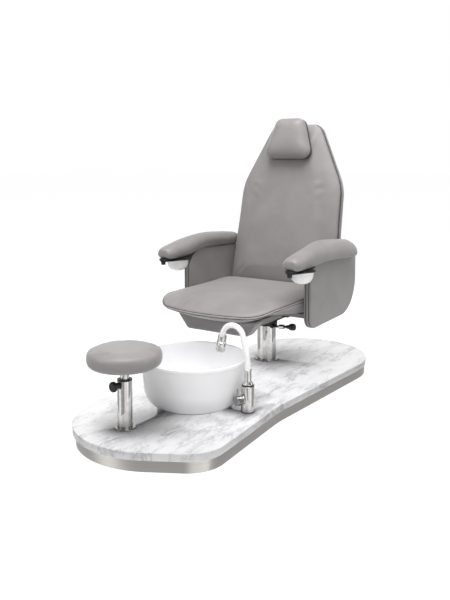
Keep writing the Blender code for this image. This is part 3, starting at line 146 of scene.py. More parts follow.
UNDERSIDE_REAR = -0.115
UNDERSIDE_BOTTOM = 0.281
UNDERSIDE_HALF_WIDTH = 0.105
UNDERSIDE_TOP_HALF_WIDTH = 0.149
UNDERSIDE_CORNER = 0.010
UNDERSIDE_TOP_CORNER = 0.002

# Arms
ARM_INNER = 0.295
ARM_THICKNESS = 0.034
ARM_OUTLINE = [
    (-0.157, 0.338, 0.050, 1),
    (0.115, 0.456, 0.165, 1),
    (0.250, 0.541, 0.030, 1),
    (-0.107, 0.485, 0.100, 1),
]
ARM_CENTRE = (0.042, 0.4295)
ARM_POINTS = 360
ARM_EDGE = 0.006
ARM_ROUNDING = 0.0035
ARM_CROWN = 0.003
ARM_SEAM = 0.010
ARM_GROOVE = 0.005
ARM_GROOVE_DEPTH = 0.003
PAD_X = 0.318
PAD_HALF_WIDTH = 0.0445
PAD_REAR = 0.228
PAD_TIP = 0.381
PAD_BOTTOM = 0.5725
PAD_HEIGHT = 0.073
PAD_NOSE_DROP = 0.0155
PAD_NOSE_HEIGHT = 0.086
PAD_TIP_DROP = 0.022
PAD_TIP_START = 0.66
PAD_NOSE_START = -0.110
PAD_NOSE_LENGTH = 0.10
PAD_ARCH = 0.010
PAD_REAR_DROP = 0.014
PAD_SHOULDER = -0.096
PAD_HEEL = 0.250
PAD_TILT = 0.404
PAD_REST = 0.3318
PAD_SPLAY = 0.008
PAD_SPLAY_START = 0.080
PAD_SPLAY_LENGTH = 0.120
PAD_STATIONS = [(0, 0.60), (0.02, 0.92), (0.08, 1), (0.32, 1), (0.53, 1), (0.65, 1), (0.78, 1), (0.92, 1),
                (0.977, 0.92), (1, 0.62)]
PAD_SECTION = [(0, 0), (0.72, 0), (1.03, 0.28), (1.03, 0.66), (0.66, 1.0), (0, 1.08)]

# Manicure bowls
BOWL_REACH = 0.107
HAND_BOWL_RADIUS = 0.052
HAND_BOWL_DEPTH = 0.052
HAND_BOWL_WALL = 0.003
HAND_BOWL_FULLNESS = 0.8
CARRIER_RIM = 0.005
CARRIER_POINTS = 240
STUD_RADIUS = 0.006
STUD_HEAD = 0.010
EYE_RADIUS = 0.013
TRAY_HALF_WIDTH = 0.030
TRAY_END = 0.198
TRAY_THICKNESS = 0.003
TRAY_TUCK = 0.006
TRAY_POINTS = 200
SMALL_CORNER = 0.008

# Back
BACK_FOOT = 0.052
BACK_HEIGHT = 0.806
BACK_RIGHT = [(0.241, 0.087, 0.035, 1), (0.016, 0.4988, 0.25, 1), (0.089, 0.803, 0.055, 1)]
BACK_POINTS = 420
CUSHION_DEPTH = 0.046
CUSHION_SWELL = 0.005
SHELL_DEPTH = 0.040
SEAM_INSET = 0.002
SHELL_BULGE = 0.005
PILLOW_FOOT = 0.671
PILLOW_HEIGHT = 0.205
PILLOW_HALF_WIDTH = 0.121
PILLOW_TOP_HALF_WIDTH = 0.084
PILLOW_CORNER = 0.042
PILLOW_DEPTH = 0.076
PILLOW_BASE = 0.04815
# The near-black cord round the pillow's foot, which paints the shadow under its edge: its radius, inset and height as
# a share of the depth
PILLOW_SHADE_CORD = 0.0048
PILLOW_SHADE_CORD_INSET = 0.0075
PILLOW_SHADE_CORD_SHARE = 0.13

# Foot bowl
BOWL_RIM = 0.2077
BOWL_BASE = 0.146
GASKET_LIP = 0.002
BOWL_FLANK = 0.197
BOWL_FLANK_HEIGHT = 0.088
BOWL_WALL = 0.008
BOWL_FLOOR = 0.009
BOWL_SWEEP = 82
BOWL_LIP = 0.014
LIP_STEP = 0.0012
LIP_DROP = 0.004
LIP_EDGE = 0.0026
WASTE_BORE = 0.0165
WASTE_RADIUS = 0.0205
WASTE_LIP = 0.003
PLUG_THICKNESS = 0.006
PLUG_STEM = 0.005
PLUG_SIDE = 0.002
PLUG_DOME = 0.003

# Tap
TAP_RADIUS = 0.0247
TAP_SHANK = 0.012
COLLAR_RADIUS = 0.0155
COLLAR_CONE = 0.013
COLLAR_BAND = 0.004
COLLAR_SOCKET = 0.004
COLLAR_STEP = 0.002
SPOUT_RADIUS = 0.0105
SPOUT_TOP = 0.3852
CROOK_RADIUS = 0.0463
CROOK_RISE = 0.047
CROOK_TURN = 172
SPRAY_RADIUS = 0.0188
SPRAY_LENGTH = 0.062
SPRAY_SOCKET = 0.010
SPRAY_STEPS = [(0.86, 0), (0.92, 0.006), (0.92, 0.020), (0.86, 0.0215), (0.86, 0.0235), (1, 0.026), (1, 0.050),
               (0.97, 0.0515), (1, 0.053)]
NOZZLE_THICKNESS = 0.004
MIXER_RADIUS = 0.018
MIXER_BOSS_RADIUS = 0.0145
MIXER_BOSS_START = 0.010
MIXER_START = 0.0300
MIXER_LENGTH = 0.025
MIXER_PIN_RADIUS = 0.0024
MIXER_PIN_PLACE = 0.72

# Footrest and lever
PAD_RADIUS = 0.1335
PAD_PLATE_EDGE = 0.004
PAD_PLATE_NECK = 0.006
FOOT_PAD_SECTION = [(0, 0), (0.76, 0.0), (0.90, 0.045), (0.975, 0.17), (1.0, 0.36), (1.0, 0.66), (0.975, 0.84),
                    (0.88, 0.955), (0.66, 0.99), (0.30, 1.0), (0, 1.0)]
CLAMP_SCREW = 0.004
CLAMP_KNOB_RADIUS = 0.0185
CLAMP_KNOB_LENGTH = 0.016
KNOB_FRONT = 0.004
KNOB_BACK = 0.0032
KNOB_EDGE = 0.002
KNOB_FLUTES = 12
KNOB_FLUTE_DEPTH = 0.0012
BOSS_RADIUS = 0.011
BOSS_LENGTH = 0.014
LEVER_LENGTH = 0.086
LEVER_RISE = np.radians(5.5)
LEVER_COLLAR_RADIUS = 0.0100
LEVER_COLLAR = (0.038, 0.064)
LEVER_ROD_RADIUS = 0.0052
LEVER_EYE_RADIUS = 0.009
LEVER_EYE_THICKNESS = 0.010
LEVER_PIN_RADIUS = 0.0035
LEVER_KNOB_RADIUS = 0.0160
LEVER_KNOB_LENGTH = 0.044
LEVER_SOCKET = 0.24
LEVER_GRIP_EDGE = 0.003
LEVER_GRIP = [(0, 0), (0.52, 0), (0.52, 0.24), (0.70, 0.32), (0.92, 0.46), (1.0, 0.74), (0.90, 0.97), (0, 1)]

# Studio. Its panels are places round a full turn, with the camera's side at one half, and how bright each is.
# A lamp is its name, place, aim, size and power, and whether it casts shadows.
AMBIENT = 0.18
WHITE = (1, 1, 1, 1)
CAMERA_RAY, GLOSSY_RAY = 0, 3
FLOOR_SIZE = 80.0
FLOOR_HEIGHT = -0.0005
FLAG_HEIGHT = (0.48, 0.56)
OVERHEAD_HEIGHT = (0.62, 0.74)
STUDIO_PANELS = [
    (0.0, 1.5), (0.075, 1.4), (0.088, 0.10), (0.105, 0.50), (0.165, 0.50), (0.19, 0.40), (0.245, 0.40), (0.275, 0.95),
    (0.325, 1.15), (0.35, 0.74), (0.38, 0.42), (0.43, 0.38), (0.488, 0.34), (0.494, 0.16), (0.502, 0.62),
    (0.535, 0.90), (0.60, 0.86), (0.625, 0.86), (0.64, 1.2), (0.672, 1.2), (0.690, 0.14), (0.702, 0.38), (0.79, 0.38),
    (0.83, 0.34), (0.86, 0.48), (0.905, 0.44), (0.918, 0.08), (0.93, 1.4), (1.0, 1.5),
]
STONE_FILL = ("stone_fill", (0.1, -0.6, 3.6), (0.1, -0.3, 0.0), 0.3, 132, False)
PALE_FILL = ("pale_fill", (1.5, -3.7, 1.5), (0.1, -0.6, 0.2), 0.3, 13, False)
PALE_PIECES = ["marble_top", "basin", "gooseneck", "manicure_bowl_left", "manicure_bowl_right"]
SOFTBOXES = [
    ("ceiling", (0.7, -1.4, 5.0), (0.1, -0.2, 0.4), 3.6, 330, True),
    ("front_high", (-1.2, -2.9, 3.0), (0, 0.0, 0.6), 2.4, 22, True),
    ("front_right", (3.4, -2.2, 1.6), (0, -0.2, 0.5), 1.6, 8, True),
    ("rear_right", (2.4, 1.6, 2.8), (0.1, -0.2, 0.5), 2.0, 24, True),
]

# Sewing and filling
PIPING = 0.0034
# Radius of the near-black cords that paint the shade in seams
SEAM_SHADE_RADIUS = 0.0018
SEAM_DROP = 0.005
SEAM_DEPTH = 0.0025
RELAX_BEFORE, RELAX_AFTER = 3, 4
CLOTH_QUALITY = 4
CLOTH_FRAMES = 20
CLOTH_PRESSURE = 4.0

# Stuffing: the size of the voxels, the furthest that a point may move, and the fill. Then where each is held
SEAT_STUFFING = (0.0063, 0.007, 0.7)
BACK_STUFFING = (0.0065, 0.004, 0.7)
PILLOW_STUFFING = (0.005, 0.003, 0.75)
PAD_STUFFING = (0.005, 0.003, 0.8)
SEAT_HELD = 0.004
BACK_HELD = 0.45
PILLOW_HELD = 0.010
PAD_HELD = 0.008
FOOT_PAD_HELD = 0.012


def span(node):
    """A CAD node's lowest and highest corner."""
    return [np.array(corner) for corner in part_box(node)]


def stand(node):
    """A CAD node's half width, bottom and top. The half width of an upright round node is its radius."""
    low, high = span(node)
    return (high[0] - low[0]) / 2, low[2], high[2]


# Places on the floor below the upright pieces, and the leaning back's hinge and directions
COLUMN = (0.0, 0.0, 0.0)
FOOT = (*JOINTS["footrest_swivel"]["pos_m"][:2], 0.0)
TAP = (*JOINTS["spout_turn"]["pos_m"][:2], 0.0)
BASIN = (*sum(span("foot_bowl"))[:2] / 2, 0.0)
BACK_PIVOT = np.array(JOINTS["back_recline"]["pos_m"])
BACK_UP = np.array(JOINTS["pillow_slide"]["axis"])
BACK_OUT = np.cross(RIGHT, BACK_UP)


def ease(value):
    """Goes smoothly from 0 to 1 as value does: three squares less two cubes."""
    value = np.clip(value, 0, 1)
    return value * value * (3 - 2 * value)


def unit(vectors):
    vectors = np.asarray(vectors, float)
    return vectors / np.linalg.norm(vectors, axis=-1, keepdims=True)


def respaced(path, count, endpoint=True):
    """Points set the same distance apart along a path."""
    along = np.concatenate([[0], np.cumsum(np.linalg.norm(np.diff(path, axis=0), axis=1))])
    wanted = np.linspace(0, along[-1], count, endpoint=endpoint)
    return np.stack([np.interp(wanted, along, column) for column in path.T], 1)


def belt(pulleys, count):
    """The outline of a belt round pulleys, counter-clockwise.

    Each free stretch heads along the line between two centres, turned by the arc sine of the difference of their
    reaches over their distance, and each arc runs from one heading to the next round its pulley.
    """
    pulleys = np.array(pulleys, float)
    centres, side = pulleys[:, :2], pulleys[:, 3]
    reach = side * pulleys[:, 2]
    spans = np.roll(centres, -1, 0) - centres
    slant = (reach - np.roll(reach, -1)) / np.linalg.norm(spans, axis=1)
    heading = np.arctan2(spans[:, 1], spans[:, 0]) + np.arcsin(np.clip(slant, -1, 1))
    before = np.roll(heading, 1)
    slack = 0.01
    turn = side * ((side * (heading - before) + slack) % TAU - slack)
    angle = before[:, None] - np.pi / 2 + turn[:, None] * np.linspace(0, 1, ARC_STEPS)
    arcs = centres[:, None] + reach[:, None, None] * np.stack([np.cos(angle), np.sin(angle)], -1)
    loop = arcs.reshape(-1, 2)
    return respaced(np.vstack([loop, loop[:1]]), count, endpoint=False)


def trapezium(bottom, top, half, top_half, corner, top_corner):
    """The outline of an upright trapezium with round corners."""
    low_x, high_x = half - corner, top_half - top_corner
    low_y, high_y = bottom + corner, top - top_corner
    return belt([(-low_x, low_y, corner, 1), (low_x, low_y, corner, 1), (high_x, high_y, top_corner, 1),
                 (-high_x, high_y, top_corner, 1)], TRAPEZIUM_POINTS)


def outward(loop):
    """A counter-clockwise loop's outward directions: its tangents turned a quarter turn clockwise."""
    tangent = unit(np.roll(loop, -1, 0) - np.roll(loop, 1, 0))
    return np.stack([tangent[:, 1], -tangent[:, 0]], 1)


def inset(loop, depth):
    return loop - depth * outward(loop)


def shrunk(loop, share, centre):
    """A loop drawn towards a centre."""
    return np.array(centre) + (loop - np.array(centre)) * share


def level(loop, height):
    """A loop of x and y at one height."""
    return np.c_[loop, np.full(len(loop), height)]


def facing(loop, y):
    """A loop of x and z stood upright at one y."""
    return np.c_[loop[:, 0], np.full(len(loop), y), loop[:, 1]]


def rounded(points, radius, closed=False, steps=6):
    """A polyline whose corners are short curves.

    Each curve leaves the two sides at radius from the corner, or sooner on a short side, and bends between them as
    a quadratic curve.
    """
    points = np.array(points, float)

    def towards(others):
        away = others - points
        length = np.linalg.norm(away, axis=1, keepdims=True)
        return points + away * np.minimum(radius / np.maximum(length, WELD), LONGEST_ROUNDING)

    start, end = towards(np.roll(points, 1, 0)), towards(np.roll(points, -1, 0))
    t = np.linspace(0, 1, steps)[None, :, None]
    curves = start[:, None] * (1 - t) ** 2 + points[:, None] * 2 * t * (1 - t) + end[:, None] * t**2
    if closed:
        return curves.reshape(-1, 2)
    return np.concatenate([points[:1], curves[1:-1].reshape(-1, 2), points[-1:]])


def spline(rows, samples, closed=False):
    """Rows blended as a uniform cubic B-spline, where each sample weighs four neighbouring rows.

    An open spline starts at its first row and ends at its last, because those count as many times as needed.
    """
    rows = np.asarray(rows, float)
    count = len(rows)
    place = np.arange(samples) * count / samples if closed else np.linspace(-1, count, samples)
    base = np.floor(place).astype(int)
    t = place - base
    weights = np.stack([(1 - t) ** 3, 3 * t**3 - 6 * t**2 + 4, 1 + 3 * t + 3 * t**2 - 3 * t**3, t**3], 1) / 6
    index = base[:, None] + np.arange(-1, 3)
    index = index % count if closed else np.clip(index, 0, count - 1)
    return np.einsum("sk,sk...->s...", weights, rows[index])


def solid(name, points, faces):
    """An object from points and faces, with its doubles merged and its faces turned outwards."""
    mesh = bpy.data.meshes.new(name)
    mesh.from_pydata(np.asarray(points).tolist(), [], faces)
    bm = bmesh.new()
    bm.from_mesh(mesh)
    bmesh.ops.remove_doubles(bm, verts=bm.verts, dist=WELD)
    bmesh.ops.recalc_face_normals(bm, faces=bm.faces)
    bm.to_mesh(mesh)
    bm.free()
    mesh.shade_smooth()
    mesh.set_sharp_from_angle(angle=SHARP_ANGLE)
    piece = bpy.data.objects.new(name, mesh)
    bpy.context.scene.collection.objects.link(piece)
    return piece


def quads(grid):
    """The faces between neighbouring rows of point numbers, where each row is a closed ring."""
    beside = np.roll(grid, -1, 1)
    return np.stack([grid[:-1], beside[:-1], beside[1:], grid[1:]], -1).reshape(-1, 4).tolist()


def skin(name, rows, joined=False):
    """A surface through rows of points, each row a closed ring.

    Joined, the last row meets the first. Otherwise each end row closes on its own middle.
    """
    rows = np.asarray(rows, float)
    points = rows.reshape(-1, 3)
    index = np.arange(len(points)).reshape(rows.shape[:2])
    if joined:
        return solid(name, points, quads(np.vstack([index, index[:1]])))
    beside = np.roll(index, -1, 1)
    middle = np.full(rows.shape[1], len(points))
    faces = quads(index)
    faces += np.stack([beside[0], index[0], middle], 1).tolist()
    faces += np.stack([index[-1], beside[-1], middle + 1], 1).tolist()
    return solid(name, np.vstack([points, rows[[0, -1]].mean(1)]), faces)


def turned(profile, at=(0, 0, 0), axis=UP, steps=96, flutes=0, depth=0.0):
    """Rows of a turned surface: each (radius, height) of the profile goes round the axis at that height.

    Flutes are waves of that depth in the radius, on the part of the profile that reaches furthest.
    """
    radius, height = np.array(profile, float).T
    axis = unit(axis)
    side = unit(np.cross(axis, RIGHT if abs(axis[0]) < 0.9 else AHEAD))
    angle = np.linspace(0, TAU, steps, endpoint=False)
    spoke = np.cos(angle)[:, None] * side + np.sin(angle)[:, None] * np.cross(axis, side)
    outermost = ease((radius / radius.max() - FLUTE_START) / FLUTE_FADE)
    reach = radius[:, None] - depth * outermost[:, None] * (0.5 - 0.5 * np.cos(flutes * angle))
    return np.array(at) + reach[..., None] * spoke + height[:, None, None] * axis


def tube(path, radius, across, closed=False, sides=12):
    """Rows of a tube: round each point of the path, a circle square to the path.

    The circle's first direction is across, less its share along the path, and the second is square to both.
    """
    path = np.asarray(path, float)
    ahead = np.roll(path, -1, 0) - np.roll(path, 1, 0) if closed else np.gradient(path, axis=0)
    tangent = unit(ahead)
    across = np.broadcast_to(across, path.shape)
    first = unit(across - (across * tangent).sum(1, keepdims=True) * tangent)
    second = np.cross(tangent, first)
    angle = np.linspace(0, TAU, sides, endpoint=False)[None, :, None]
    return path[:, None] + radius * (np.cos(angle) * first[:, None] + np.sin(angle) * second[:, None])


def plate_edge(bottom, top, radius, flat):
    """The edge profile of a plate with rounded edges, as insets and heights. It starts and ends flat inside."""
    return rounded([(flat, bottom), (0, bottom), (0, top), (flat, top)], radius)


def plate(name, outline, edge, holes=()):
    """A flat piece: an edge profile of (inset, height) carried round its outline, with flat faces and holes."""
    rows = np.array([level(inset(outline, depth), height) for depth, height in edge])
    points = [rows.reshape(-1, 3)]
    faces = quads(np.arange(len(points[0])).reshape(rows.shape[:2]))
    for row in (rows[0], rows[-1]):
        loops = [row[:, :2], *holes]
        starts = np.cumsum([0] + [len(loop) for loop in loops])
        edges = [(a + i, a + (i + 1) % (b - a)) for a, b in zip(starts, starts[1:]) for i in range(b - a)]
        flat, _, cells, _, _, _ = delaunay_2d_cdt([Vector(p) for p in np.vstack(loops)], edges, [], 2, WELD)
        start = sum(len(p) for p in points)
        faces += [[start + i for i in cell] for cell in cells]
        points.append(level(np.array(flat), row[0, 2]))
    for hole in holes:
        start = sum(len(p) for p in points)
        faces += quads(start + np.arange(2 * len(hole)).reshape(2, -1))
        points += [level(hole, row[0, 2]) for row in (rows[0], rows[-1])]
    return solid(name, np.vstack(points), faces)


def circle(centre, radius, count=96):
    angle = np.linspace(0, TAU, count, endpoint=False)
    return np.array(centre[:2]) + radius * np.stack([np.cos(angle), np.sin(angle)], 1)


class Shade:
    """A material's node tree and one socket in it, on which plain maths adds Math nodes."""

    def __init__(self, tree, socket=None):
        self.tree = tree
        self.socket = socket

    def node(self, kind, settings, inputs, out=0):
        """Adds a node: its settings first, then the values or links of its sockets, by name or number."""
        made = self.tree.nodes.new(kind)
        for key, value in settings.items():
            if key == "stops":
                ramp = made.color_ramp.elements
                ends = {0: ramp[0], len(value) - 1: ramp[1]}
                for index, (place, level) in enumerate(value):
                    stop = ends.get(index) or ramp.new(place)
                    stop.color = (level, level, level, 1)
            else:
                setattr(made, key, value)
        for key, value in inputs.items():
            if isinstance(value, Shade):
                self.tree.links.new(value.socket, made.inputs[key])
            else:
                made.inputs[key].default_value = value
        return Shade(self.tree, made.outputs[out] if made.outputs else None)

    def maths(self, operation, first, second):
        return self.node("ShaderNodeMath", {"operation": operation}, {0: first, 1: second})

    def __add__(self, other):
        return self.maths("ADD", self, other)

    __radd__ = __add__

    def __sub__(self, other):
        return self.maths("SUBTRACT", self, other)

    def __rsub__(self, other):
        return self.maths("SUBTRACT", other, self)

    def __mul__(self, other):
        return self.maths("MULTIPLY", self, other)

    __rmul__ = __mul__

    def __pow__(self, other):
        return self.maths("POWER", self, other)

    def between(self, low, high):
        """Goes smoothly from 0 to 1 as the value goes from low to high."""
        return self.node("ShaderNodeMapRange", {"interpolation_type": "SMOOTHSTEP"},
                         {"Value": self, "From Min": low, "From Max": high})

    def mixed(self, first, second):
        """A colour that goes from first to second as this value goes from 0 to 1."""
        return self.node("ShaderNodeMix", {"data_type": "RGBA"}, {0: self, 6: first, 7: second}, 2)

    def place(self, scale=(1, 1, 1), turn=0.0):
        """The object's own coordinates, turned about Z and scaled."""
        where = self.node("ShaderNodeTexCoord", {}, {}, 3)
        return self.node("ShaderNodeMapping", {}, {"Vector": where, "Rotation": (0, 0, turn), "Scale": scale})

    def noise(self, where, scale, detail=2.0, roughness=0.5, out=0):
        return self.node("ShaderNodeTexNoise", {}, {"Vector": where, "Scale": scale, "Detail": detail,
                                                     "Roughness": roughness}, out)

    def cells(self, where, scale, feature="F1"):
        return self.node("ShaderNodeTexVoronoi", {"feature": feature}, {"Vector": where, "Scale": scale})

    def bump(self, height, strength, distance):
        return self.node("ShaderNodeBump", {}, {"Strength": strength, "Distance": distance, "Height": height})


def finish(name, **constants):
    """A new material and its shader. Constants are set on the shader's sockets, with spaces as underscores."""
    material = bpy.data.materials.new("look_" + name)
    material.use_nodes = True
    shader = material.node_tree.nodes["Principled BSDF"]
    for key, value in constants.items():
        shader.inputs[key.replace("_", " ")].default_value = value
    return material, Shade(material.node_tree), shader


def feed(shade, shader, **links):
    """Links what varies over the surface to the shader's sockets."""
    for key, value in links.items():
        shade.tree.links.new(value.socket, shader.inputs[key.replace("_", " ")])


def clouded(name, scale, detail, spread, dark, light, roughness, gain, relief=None, **constants):
    """A finish whose colour and roughness follow one noise.

    Spread is how far from one half the noise goes as the colour goes from dark to light. Relief makes the bump from
    the node tree, the place and the noise.
    """
    material, shade, shader = finish(name, **constants)
    where = shade.place()
    cloud = shade.noise(where, scale, detail)
    colour = cloud.between(0.5 - spread, 0.5 + spread).mixed((*dark, 1), (*light, 1))
    feed(shade, shader, Base_Color=colour, Roughness=roughness + gain * cloud)
    if relief:
        feed(shade, shader, Normal=relief(shade, where, cloud))
    return material


def polished(name, scale, dark, light, roughness, gain):
    """Polished or plated metal, with faint haze in its roughness."""
    return clouded(name, scale, 3.0, 0.2, dark, light, roughness, gain, Metallic=1.0)


def leatherette():
    """Warm grey coated fabric: a fine pebbled grain, faint clouds in its colour and a soft sheen."""
    material, shade, shader = finish("upholstery", Sheen_Weight=0.30, Sheen_Roughness=0.40, IOR=1.5)
    where = shade.place()
    cloud = shade.noise(where, 11.0, 4.0)
    fleck = shade.noise(where, 620.0, 2.0)
    tone = (cloud * 0.75 + fleck * 0.25).between(0.30, 0.70)
    colour = tone.mixed((0.236, 0.222, 0.222, 1), (0.276, 0.260, 0.260, 1))
    pebble = shade.cells(where, 900.0)
    grain = pebble * 0.7 + fleck * 0.3
    feed(shade, shader, Base_Color=colour, Roughness=0.40 + 0.14 * cloud,
         Normal=shade.bump(grain, 0.22, 0.0004))
    return material


def dark_steel(name, low, high):
    """Darker polished metal of the foot rings and the mixer."""
    warm = np.array((1, 0.97, 0.94))
    return polished(name, 80.0, low * warm, high * warm, 0.10, 0.08)


def marble():
    """White polished stone: soft grey clouds, and veins along the level lines of bent noise, faded in places."""
    material, shade, shader = finish("marble", IOR=1.5, Specular_IOR_Level=0.05)
    where = shade.place((2.1, 0.75, 1.2), np.radians(-14))
    warp = shade.noise(where, 7.0, 6.0, 0.6, 1)
    centred = shade.node("ShaderNodeVectorMath", {"operation": "MULTIPLY_ADD"},
                         {0: warp, 1: (0.20, 0.20, 0.20), 2: (-0.10, -0.10, -0.10)})
    bent = shade.node("ShaderNodeVectorMath", {"operation": "ADD"}, {0: where, 1: centred})
    cloud = shade.noise(bent, 7.5, 5.0, 0.6)
    patch = shade.noise(where, 5.0, 3.0)
    large = shade.noise(bent, 4.6, 6.0, 0.62) - 0.5
    small = shade.noise(bent, 11.0, 5.0, 0.60) - 0.5
    vein = (1 - (large * large).between(0.0, 0.0009)) * patch.between(0.34, 0.62)
    thread = (1 - (small * small).between(0.0, 0.0008)) * cloud.between(0.40, 0.66)
    smoke = (1 - (large * large).between(0.0, 0.012)) * patch.between(0.40, 0.66)
    grey = vein * 0.46 + thread * 0.36 + smoke * 0.16 + cloud.between(0.50, 0.80) * 0.16
    colour = grey.mixed((0.745, 0.745, 0.755, 1), (0.36, 0.36, 0.375, 1))
    feed(shade, shader, Base_Color=colour, Roughness=0.05 + 0.05 * grey)
    return material


def brushed_steel():
    """Warm grey metal with long fine brush lines that run level round the band."""
    material, shade, shader = finish("brushed_steel", Metallic=1.0)
    lines = shade.noise(shade.place((6, 6, 2600)), 1.0, 4.0, 0.6)
    broad = shade.noise(shade.place((2.2, 2.2, 120)), 1.0, 2.0)
    colour = (lines * 0.6 + broad * 0.4).between(0.3, 0.7).mixed((0.67, 0.64, 0.61, 1), (0.80, 0.77, 0.74, 1))
    feed(shade, shader, Base_Color=colour, Roughness=0.26 + 0.16 * lines,
         Normal=shade.bump(lines, 0.10, 0.0002))
    return material


def glazed(name, tint, roughness, ripple):
    """White glaze or gloss plastic: even colour, faint clouds, a slow ripple in its gloss."""
    pale = [0.965 * value for value in tint]
    return clouded(name, 7.0, 2.0, 0.15, pale, tint, roughness, 0.06,
                   lambda shade, where, _: shade.bump(shade.noise(where, 26.0, 1.0), ripple, 0.001),
                   IOR=1.5, Coat_Roughness=0.05)


def moulded(name, dark, light, roughness, metallic=0.0):
    """Black moulded or painted surface: a fine sparkle of grain and duller patches."""
    return clouded(name, 30.0, 3.0, 0.15, dark, light, roughness, 0.15,
                   lambda shade, where, _: shade.bump(shade.noise(where, 1400.0, 2.0), 0.15, 0.0003),
                   Metallic=metallic)


def plywood():
    """Pale board: long figure along its length, thin ply lines on its edges."""
    material, shade, shader = finish("plywood")
    figure = shade.noise(shade.place((38, 3, 38)), 1.0, 5.0, 0.6)
    plies = shade.node("ShaderNodeTexWave", {"bands_direction": "Z"},
                       {"Vector": shade.place(), "Scale": 110.0, "Distortion": 0.6})
    tone = (figure * 0.7 + plies * 0.3).between(0.25, 0.75)
    colour = tone.mixed((0.36, 0.25, 0.145, 1), (0.56, 0.42, 0.265, 1))
    feed(shade, shader, Base_Color=colour, Roughness=0.62 + 0.15 * figure, Normal=shade.bump(figure, 0.15, 0.0005))
    return material


FINISHES = {
    "upholstery": leatherette(),
    "marble": marble(),
    "brushed_steel": brushed_steel(),
    "chrome": polished("chrome", 60.0, (0.71, 0.70, 0.685), (0.79, 0.78, 0.765), 0.045, 0.05),
    "white_ceramic": glazed("white_ceramic", (0.875, 0.875, 0.885), 0.12, 0.02),
    "white_plastic": glazed("white_plastic", (0.89, 0.89, 0.885), 0.20, 0.03),
    "black_plastic": moulded("black_plastic", (0.012, 0.012, 0.013), (0.022, 0.022, 0.023), 0.34),
    "black_steel": moulded("black_steel", (0.016, 0.016, 0.017), (0.030, 0.030, 0.031), 0.38, 0.4),
    "rubber": moulded("rubber", (0.022, 0.022, 0.022), (0.040, 0.040, 0.040), 0.66),
    "plywood": plywood(),
}
# The same coated fabric pulled tight over cord, painted lighter as a painted highlight on the piping, and a near-black
# finish for cords laid along seams as painted shade in their grooves
# The piping's fabric is painted lighter than the upholstery: a painted highlight along its rounded edge
PIPING_HIGHLIGHT_FINISH = clouded("piping", 40.0, 3.0, 0.2, (0.300, 0.282, 0.282), (0.350, 0.330, 0.330), 0.46, 0.12,
                        lambda shade, where, _: shade.bump(shade.cells(where, 1100.0), 0.2, 0.0003),
                        Sheen_Weight=0.12, Sheen_Roughness=0.45)
# Near-black finish of the seam cords: painted shade of the seam grooves, not a real thread colour
SEAM_SHADE_FINISH = clouded("seam_thread", 900.0, 2.0, 0.2, (0.050, 0.046, 0.045), (0.085, 0.079, 0.078), 0.70, 0.15,
                        lambda shade, _, twist: shade.bump(twist, 0.3, 0.0003), IOR=1.4)
RING_FINISH = dark_steel("ring_steel", 0.15, 0.22)
MIXER_FINISH = dark_steel("mixer_steel", 0.34, 0.42)


def dress(piece, slot, body, *nodes, look=None):
    """Gives a piece its finish, the body that it rides on and the CAD nodes that it stands for.

    A look takes the place of the slot's usual finish.
    """
    piece.data.materials.clear()
    piece.data.materials.append(FINISHES[slot])
    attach(piece, body)
    if nodes:
        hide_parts(*nodes)
    if look:
        piece.data.materials[0] = look
    return piece


def washer(outer, inner, bottom, top):
    """A ring's profile, which closes on itself."""
    return [(outer, bottom), (outer, top), (inner, top), (inner, bottom)]


def rod(radius, bottom, top):
    """A round bar's profile, from the middle of one end to the middle of the other."""
    return [(0, bottom), (radius, bottom), (radius, top), (0, top)]


def lathe(name, profile, slot, body, *nodes, edge=EDGE, ring=False, at=(0, 0, 0), axis=UP, steps=96, look=None):
    """A turned piece with eased edges. A ring's profile closes on itself, any other starts and ends on the axis."""
    rows = turned(rounded(profile, edge, ring), at, axis, steps)
    return dress(skin(name, rows, ring), slot, body, *nodes, look=look)


def cord(name, path, across, body, radius=SEAM_SHADE_RADIUS, sides=8, look=SEAM_SHADE_FINISH):
    """A cord along a seam, closed on itself. By default it is the near-black cord that paints the shade of a seam's
    groove.
    """
    rows = tube(path, radius, across, closed=True, sides=sides)
    dress(skin(name, rows, joined=True), "upholstery", body, look=look)


def gathered(items, field):
    """One field of all items, as rows of an array."""
    flat = np.empty(len(items) * 3, np.float32)
    items.foreach_get(field, flat)
    return flat.reshape(-1, 3).astype(float)


def points_of(mesh):
    return gathered(mesh.vertices, "co")


def normals_of(mesh):
    return gathered(mesh.vertex_normals, "vector")


def set_points(mesh, points):
    mesh.vertices.foreach_set("co", points.astype(np.float32).ravel())
    mesh.update()


def evaluated(piece):
    graph = bpy.context.evaluated_depsgraph_get()
    return bpy.data.meshes.new_from_object(piece.evaluated_get(graph))


def relaxed(mesh, points, rounds):
    """Moves each point half way to the mean of its neighbours, rounds times."""
    ends = np.empty(len(mesh.edges) * 2, np.int32)
    mesh.edges.foreach_get("vertices", ends)
    first, second = ends.reshape(-1, 2).T
    count = np.bincount(ends, minlength=len(points))[:, None]
    for _ in range(rounds):
        total = np.zeros_like(points)
        np.add.at(total, first, points[second])
        np.add.at(total, second, points[first])
        points = (points + total / count) / 2
    return points


def creased(points, normals, seam, depth, width):
    """Points near a seam move in along their normals, by a bell curve of their distance from the seam."""
    squared = (points**2).sum(1)[:, None] + (seam**2).sum(1)[None] - 2 * points @ seam.T
    nearest = np.maximum(squared.min(1), 0)
    return points - normals * (depth * np.exp(-nearest / width**2))[:, None]


def laid_on(piece, path, lift):
    """A closed path laid on a piece.

    Each point moves along the nearest vertex's normal to that vertex's tangent plane, and is lifted off it.
    Then each point becomes the mean of the five round it.
    """
    points, normals = points_of(piece.data), normals_of(piece.data)
    squared = (points**2).sum(1)[None] - 2 * path @ points.T
    nearest = squared.argmin(1)
    above = ((path - points[nearest]) * normals[nearest]).sum(1, keepdims=True)
    laid = path + (lift - above) * normals[nearest]
    return np.mean([np.roll(laid, shift, 0) for shift in range(-2, 3)], 0)


